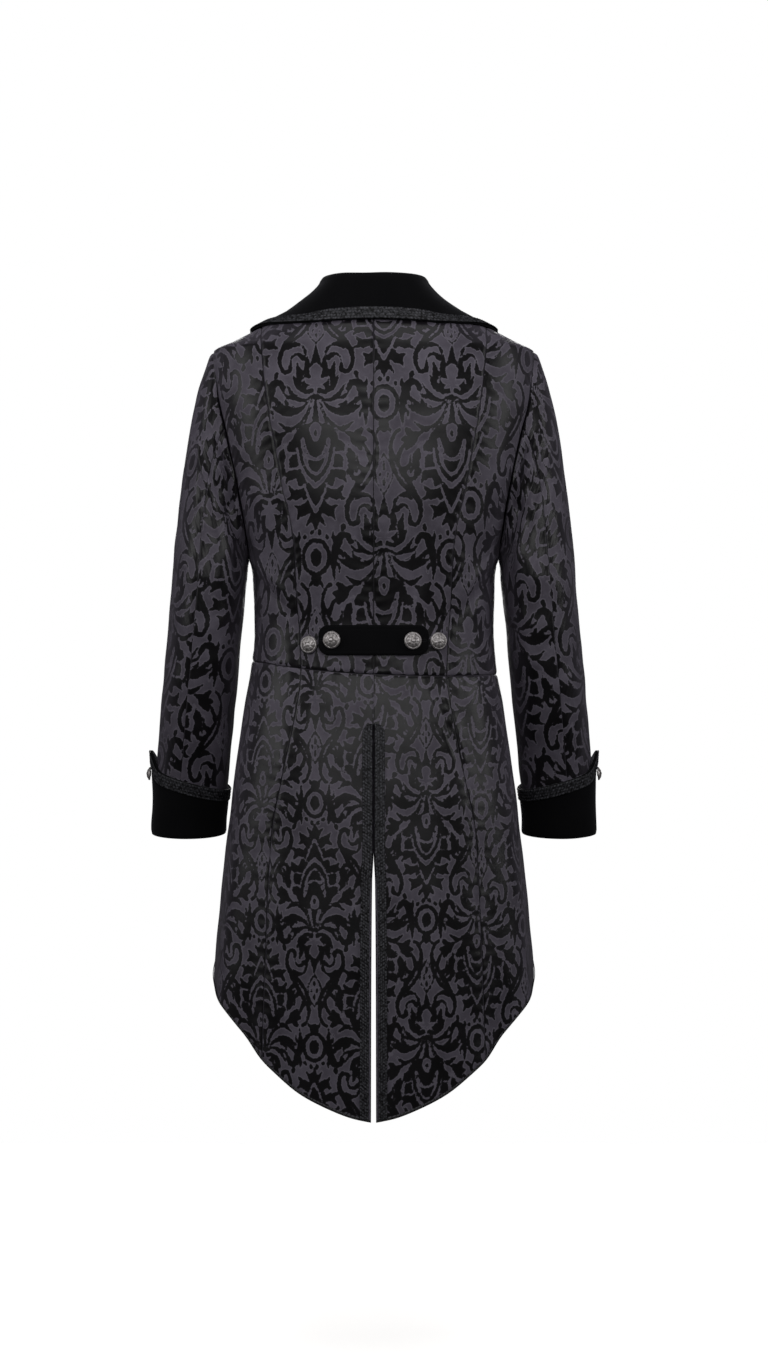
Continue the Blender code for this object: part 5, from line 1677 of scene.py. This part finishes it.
def add(tree, kind, settings=None, inputs=None):
    """Adds a node with its settings. An input is a value, or the socket that feeds it."""
    made = tree.nodes.new(kind)
    for name, value in (settings or {}).items():
        setattr(made, name, value)
    for name, value in (inputs or {}).items():
        if isinstance(value, bpy.types.NodeSocket):
            tree.links.new(value, made.inputs[name])
        else:
            made.inputs[name].default_value = value
    return made


def new_material(name):
    """An empty material, its nodes and its shader."""
    made = bpy.data.materials.new(name)
    made.use_nodes = True
    tree = made.node_tree
    shader = tree.nodes["Principled BSDF"]
    return made, tree, shader


def jacquard_satin():
    """Woven jacquard: a paler satin ground with diagonal ribs, and a darker, glossier figure."""
    made, tree, shader = new_material("jacquard_satin_damask")
    place = add(tree, "ShaderNodeTexCoord").outputs["Object"]
    figure = add(tree, "ShaderNodeAttribute", {"attribute_name": "figure"}).outputs["Fac"]
    yarn = add(tree, "ShaderNodeTexNoise", inputs={"Vector": place, "Scale": YARN_NOISE, "Detail": 1.0})
    ragged = add(
        tree,
        "ShaderNodeMath",
        {"operation": "MULTIPLY_ADD"},
        {0: yarn.outputs["Fac"], 1: 0.6, 2: figure},
    )
    # The weave steps along the figure's edge, which leaves it finely toothed.
    teeth = add(tree, "ShaderNodeTexNoise", inputs={"Vector": place, "Scale": TEETH_NOISE, "Detail": 2.0})
    toothed = add(
        tree,
        "ShaderNodeMath",
        {"operation": "MULTIPLY_ADD"},
        {0: teeth.outputs["Fac"], 1: 4.0, 2: ragged.outputs[0]},
    ).outputs[0]
    inside = add(
        tree,
        "ShaderNodeMapRange",
        {"interpolation_type": "SMOOTHSTEP"},
        {"Value": toothed, "From Min": 1.95, "From Max": 2.75},
    ).outputs["Result"]
    rim = add(
        tree,
        "ShaderNodeMapRange",
        inputs={"Value": toothed, "From Min": 0.6, "From Max": 1.9, "To Max": 0.55},
    ).outputs["Result"]
    patch = add(
        tree,
        "ShaderNodeTexNoise",
        inputs={"Vector": place, "Scale": WEAR_NOISE, "Detail": 8.0, "Roughness": 0.72},
    )
    worn = add(
        tree,
        "ShaderNodeMapRange",
        inputs={"Value": patch.outputs["Fac"], "From Min": 0.34, "From Max": 0.66},
    ).outputs["Result"]
    plain = add(
        tree,
        "ShaderNodeMix",
        {"data_type": "RGBA"},
        {"Factor": worn, "A": linear("#443f49"), "B": linear("#625d69")},
    )
    # A thin line of the ground beside the figure floats higher and looks paler.
    ground = add(
        tree,
        "ShaderNodeMix",
        {"data_type": "RGBA"},
        {"Factor": rim, "A": plain.outputs["Result"], "B": linear("#77727e")},
    )
    dark = add(
        tree,
        "ShaderNodeMix",
        {"data_type": "RGBA"},
        {"Factor": worn, "A": linear("#060507"), "B": linear("#161417")},
    )
    # Painted sheen: where the cloth turns away from the view, the figure's colour fades towards the
    # ground's, standing in for the satin's two faces looking alike there.
    turned = add(tree, "ShaderNodeLayerWeight", inputs={"Blend": 0.5}).outputs["Facing"]
    painted_sheen_fade = add(
        tree,
        "ShaderNodeMapRange",
        {"interpolation_type": "SMOOTHSTEP"},
        {"Value": turned, "From Min": 0.12, "From Max": 0.80, "To Min": 1.0, "To Max": 0.55},
    ).outputs["Result"]
    shown = add(tree, "ShaderNodeMath", {"operation": "MULTIPLY"}, {0: inside, 1: painted_sheen_fade})
    colour = add(
        tree,
        "ShaderNodeMix",
        {"data_type": "RGBA"},
        {"Factor": shown.outputs[0], "A": ground.outputs["Result"], "B": dark.outputs["Result"]},
    )
    tree.links.new(colour.outputs["Result"], shader.inputs["Base Color"])
    rough = add(
        tree,
        "ShaderNodeMapRange",
        inputs={"Value": inside, "To Min": 0.62, "To Max": 0.33},
    )
    tree.links.new(rough.outputs["Result"], shader.inputs["Roughness"])
    shader.inputs["Specular IOR Level"].default_value = 0.3
    shader.inputs["Sheen Weight"].default_value = 0.02
    shader.inputs["Sheen Roughness"].default_value = 0.45
    shader.inputs["Sheen Tint"].default_value = linear("#d8d4de")
    weave = add(tree, "ShaderNodeUVMap", {"uv_map": "cloth"}).outputs["UV"]
    ribs = add(
        tree,
        "ShaderNodeTexWave",
        {"bands_direction": "DIAGONAL"},
        {"Vector": weave, "Scale": RIB_WAVE, "Distortion": 1.2, "Detail": 1.0},
    )
    height = add(
        tree,
        "ShaderNodeMath",
        {"operation": "MULTIPLY_ADD"},
        {0: ribs.outputs["Fac"], 1: 0.35, 2: inside},
    )
    bump = add(
        tree,
        "ShaderNodeBump",
        inputs={"Height": height.outputs[0], "Strength": 0.35, "Distance": 0.00018},
    )
    tree.links.new(bump.outputs["Normal"], shader.inputs["Normal"])
    return made


def cut_pile_velvet():
    """Cotton velvet: near black face on, with a soft pale bloom where the pile turns away."""
    made, tree, shader = new_material("cut_pile_velvet")
    place = add(tree, "ShaderNodeTexCoord").outputs["Object"]
    brushed = add(
        tree, "ShaderNodeTexNoise", inputs={"Vector": place, "Scale": BRUSHED_NOISE, "Detail": 4.0}
    )
    colour = add(
        tree,
        "ShaderNodeMix",
        {"data_type": "RGBA"},
        {"Factor": brushed.outputs["Fac"], "A": linear("#08080a"), "B": linear("#0e0e10")},
    )
    stitch = add(tree, "ShaderNodeAttribute", {"attribute_name": "figure"}).outputs["Fac"]
    sewn = add(
        tree,
        "ShaderNodeMix",
        {"data_type": "RGBA"},
        {"Factor": stitch, "A": colour.outputs["Result"], "B": linear("#1b1b1e")},
    )
    tree.links.new(sewn.outputs["Result"], shader.inputs["Base Color"])
    shader.inputs["Roughness"].default_value = 0.9
    shader.inputs["Specular IOR Level"].default_value = 0.1
    shader.inputs["Sheen Weight"].default_value = 0.35
    shader.inputs["Sheen Roughness"].default_value = 0.35
    shader.inputs["Sheen Tint"].default_value = linear("#8d8d94")
    pile = add(tree, "ShaderNodeTexNoise", inputs={"Vector": place, "Scale": PILE_NOISE, "Detail": 1.0})
    bump = add(
        tree,
        "ShaderNodeBump",
        inputs={"Height": pile.outputs["Fac"], "Strength": 0.4, "Distance": 0.0002},
    )
    tree.links.new(bump.outputs["Normal"], shader.inputs["Normal"])
    return made


def plaited_rayon():
    """Rayon braid: dark cords with a dull grey highlight painted on their backs, and black painted shade
    between them.
    """
    made, tree, shader = new_material("plaited_rayon_braid")
    place = add(tree, "ShaderNodeTexCoord").outputs["Object"]
    high = add(tree, "ShaderNodeAttribute", {"attribute_name": "figure"}).outputs["Fac"]
    strand = add(
        tree, "ShaderNodeTexNoise", inputs={"Vector": place, "Scale": STRAND_NOISE, "Detail": 2.0}
    )
    speckle = add(tree, "ShaderNodeTexNoise", inputs={"Vector": place, "Scale": KNOP_NOISE, "Detail": 2.0})
    lit = add(
        tree,
        "ShaderNodeMapRange",
        inputs={"Value": speckle.outputs["Fac"], "From Min": 0.36, "From Max": 0.62},
    ).outputs["Result"]
    mixed = add(tree, "ShaderNodeMath", {"operation": "MULTIPLY"}, {0: high, 1: lit})
    # Painted highlight and shade: the cords' colour rises with the knops' height, pale on their backs and
    # black between them.
    colour = add(
        tree,
        "ShaderNodeMix",
        {"data_type": "RGBA"},
        {"Factor": mixed.outputs[0], "A": linear("#050506"), "B": linear("#5a5a60")},
    )
    tree.links.new(colour.outputs["Result"], shader.inputs["Base Color"])
    shader.inputs["Roughness"].default_value = 0.5
    shader.inputs["Specular IOR Level"].default_value = 0.2
    bump = add(
        tree,
        "ShaderNodeBump",
        inputs={"Height": strand.outputs["Fac"], "Strength": 0.5, "Distance": 0.0003},
    )
    tree.links.new(bump.outputs["Normal"], shader.inputs["Normal"])
    return made


def satin_tape():
    """Satin binding: a smooth black tape, with paler stitches along it."""
    made, tree, shader = new_material("satin_tape_binding")
    stitch = add(tree, "ShaderNodeAttribute", {"attribute_name": "figure"}).outputs["Fac"]
    colour = add(
        tree,
        "ShaderNodeMix",
        {"data_type": "RGBA"},
        {"Factor": stitch, "A": linear("#0d0d0f"), "B": linear("#77757c")},
    )
    tree.links.new(colour.outputs["Result"], shader.inputs["Base Color"])
    shader.inputs["Roughness"].default_value = 0.55
    shader.inputs["Specular IOR Level"].default_value = 0.3
    return made


def antique_pewter():
    """Cast and darkened pewter: bright where it rubs, dark in the hollows, with a mottled skin."""
    made, tree, shader = new_material("antique_cast_pewter")
    place = add(tree, "ShaderNodeTexCoord").outputs["Object"]
    relief = add(tree, "ShaderNodeAttribute", {"attribute_name": "figure"}).outputs["Fac"]
    spots = add(
        tree,
        "ShaderNodeTexNoise",
        inputs={"Vector": place, "Scale": PEWTER_NOISE, "Detail": 5.0, "Roughness": 0.65},
    )
    worn = add(
        tree,
        "ShaderNodeMath",
        {"operation": "MULTIPLY_ADD"},
        {0: relief, 1: 0.16, 2: spots.outputs["Fac"]},
    )
    shade = add(
        tree,
        "ShaderNodeMapRange",
        inputs={"Value": worn.outputs[0], "From Min": 0.34, "From Max": 0.68},
    )
    colour = add(
        tree,
        "ShaderNodeMix",
        {"data_type": "RGBA"},
        {"Factor": shade.outputs["Result"], "A": linear("#6f6a69"), "B": linear("#e2dddd")},
    )
    tree.links.new(colour.outputs["Result"], shader.inputs["Base Color"])
    shader.inputs["Metallic"].default_value = 0.9
    rough = add(
        tree,
        "ShaderNodeMapRange",
        inputs={"Value": shade.outputs["Result"], "To Min": 0.62, "To Max": 0.40},
    )
    tree.links.new(rough.outputs["Result"], shader.inputs["Roughness"])
    bump = add(
        tree,
        "ShaderNodeBump",
        inputs={"Height": spots.outputs["Fac"], "Strength": 0.6, "Distance": 0.0004},
    )
    tree.links.new(bump.outputs["Normal"], shader.inputs["Normal"])
    return made


def pale_floor():
    """Painted studio floor: matt and near white."""
    made, _, shader = new_material("pale_matt_floor")
    shader.inputs["Base Color"].default_value = linear("#f4f3f2")
    shader.inputs["Roughness"].default_value = 0.9
    return made


# The photograph's view: level, three metres behind the coat, at the height of the waist.
PIXEL_AT_MIDDLE = 0.00134
PICTURE_HEIGHT = 1365
CAMERA_DISTANCE = 3.0
CAMERA_PLACE = (-0.0134, CAMERA_DISTANCE, -0.5126)
SENSOR = 36.0
FLOOR_HEIGHT = -1.42
# Soft boxes: place, what each one faces, width, height, power, and whether it lights the cloth
# evenly, is only mirrored in its shine, or both.
SOFT_BOXES = (
    ("key", (0.0, 2.0, 0.66), (0.0, 0.0, 0.05), 3.0, 0.8, 18.5, "diffuse"),
    ("over_camera", (0.0, 2.7, 0.30), (0.0, 0.0, -0.25), 3.0, 0.6, 20.0, "glossy"),
    ("left_side", (2.6, 1.1, 0.45), (0.1, 0.0, -0.25), 0.9, 1.9, 15.0, "both"),
    ("right_side", (-2.6, 1.1, 0.45), (-0.1, 0.0, -0.25), 0.9, 1.9, 15.0, "both"),
    ("above", (0.0, 0.9, 1.9), (0.0, 0.05, -0.2), 1.8, 1.2, 10.0, "both"),
    ("front_fill", (0.0, -3.6, 0.6), (0.0, 0.0, -0.4), 2.4, 2.0, 36.0, "both"),
)
# The lamp that keeps the floor as pale as the background shines on the floor alone.
FLOOR_LAMP = (5.0, 3.0, 330.0)
FLOOR_EDGES = (-3.0, 3.0, -1.4, 3.4)
SKY_SEEN = 1.0
SKY_LIGHT = 0.045


def make_camera():
    """The photograph's camera, whose lens frames the picture's height at the coat's middle."""
    data = bpy.data.cameras.new("photograph_view")
    data.sensor_fit = "VERTICAL"
    data.sensor_height = SENSOR
    data.lens = SENSOR * CAMERA_DISTANCE / (PICTURE_HEIGHT * PIXEL_AT_MIDDLE)
    camera = bpy.data.objects.new("photograph_view", data)
    camera.location = CAMERA_PLACE
    camera.rotation_euler = Vector((0, -1, 0)).to_track_quat("-Z", "Y").to_euler()
    bpy.context.scene.collection.objects.link(camera)
    bpy.context.scene.camera = camera


def make_lamp(name, place, aim, width, height, power, light="both"):
    """A rectangular soft box at a place, turned to what it faces."""
    data = bpy.data.lights.new(name, "AREA")
    data.shape = "RECTANGLE"
    data.size, data.size_y, data.energy = width, height, power
    lamp = bpy.data.objects.new(name, data)
    lamp.location = place
    lamp.rotation_euler = (Vector(aim) - Vector(place)).to_track_quat("-Z", "Y").to_euler()
    lamp.visible_camera = False
    lamp.visible_diffuse = light != "glossy"
    lamp.visible_glossy = light != "diffuse"
    bpy.context.scene.collection.objects.link(lamp)
    return lamp


def make_studio(material):
    """The soft boxes, the plain background and the floor with its own lamp."""
    for box in SOFT_BOXES:
        make_lamp(*box)
    world = bpy.data.worlds.new("plain_studio")
    bpy.context.scene.world = world
    world.use_nodes = True
    tree = world.node_tree
    seen = add(tree, "ShaderNodeLightPath").outputs["Is Camera Ray"]
    strength = add(
        tree, "ShaderNodeMapRange", inputs={"Value": seen, "To Min": SKY_LIGHT, "To Max": SKY_SEEN}
    )
    sky = tree.nodes["Background"]
    sky.inputs["Color"].default_value = (1, 1, 1, 1)
    tree.links.new(strength.outputs["Result"], sky.inputs["Strength"])
    left, right, near, far = FLOOR_EDGES
    corners = [(left, near), (right, near), (right, far), (left, far)]
    mesh = bpy.data.meshes.new("studio_floor")
    mesh.from_pydata([(x, y, FLOOR_HEIGHT) for x, y in corners], [], [(0, 1, 2, 3)])
    mesh.materials.append(material)
    floor = bpy.data.objects.new("studio_floor", mesh)
    bpy.context.scene.collection.objects.link(floor)
    floor.visible_diffuse = floor.visible_glossy = False
    size, height, power = FLOOR_LAMP
    lamp = make_lamp("floor_wash", (0, 0.5, height), (0, 0.5, 0), size, size, power)
    lit = bpy.data.collections.new("lit_by_floor_wash")
    lit.objects.link(floor)
    lamp.light_linking.receiver_collection = lit
    bpy.context.scene.view_settings.view_transform = "Standard"


def main():
    """Makes the materials, the studio and every piece of the coat."""
    damask, velvet, cord = jacquard_satin(), cut_pile_velvet(), plaited_rayon()
    tape, pewter = satin_tape(), antique_pewter()
    make_camera()
    make_studio(pale_floor())
    buttons = {b.name: b for b in make_buttons(pewter)}
    for side, word in SIDES:
        panels = {form: make_panel(form, side, word, damask) for form in PANEL_FORMS}
        vent = vent_braid(side, word, cord)
        hem_tape, cutaway_tape = make_bindings(side, word, tape)
        upper, under = (make_sleeve(part, side, word, damask) for part in ("upper", "under"))
        cuff, cuff_braid = make_cuff(side, word, velvet, cord)
        lapel, lapel_braid = make_lapel(side, word, velvet, cord)
    collar, collar_braid = make_collar(velvet, cord)
    belt = make_belt(velvet)


main()
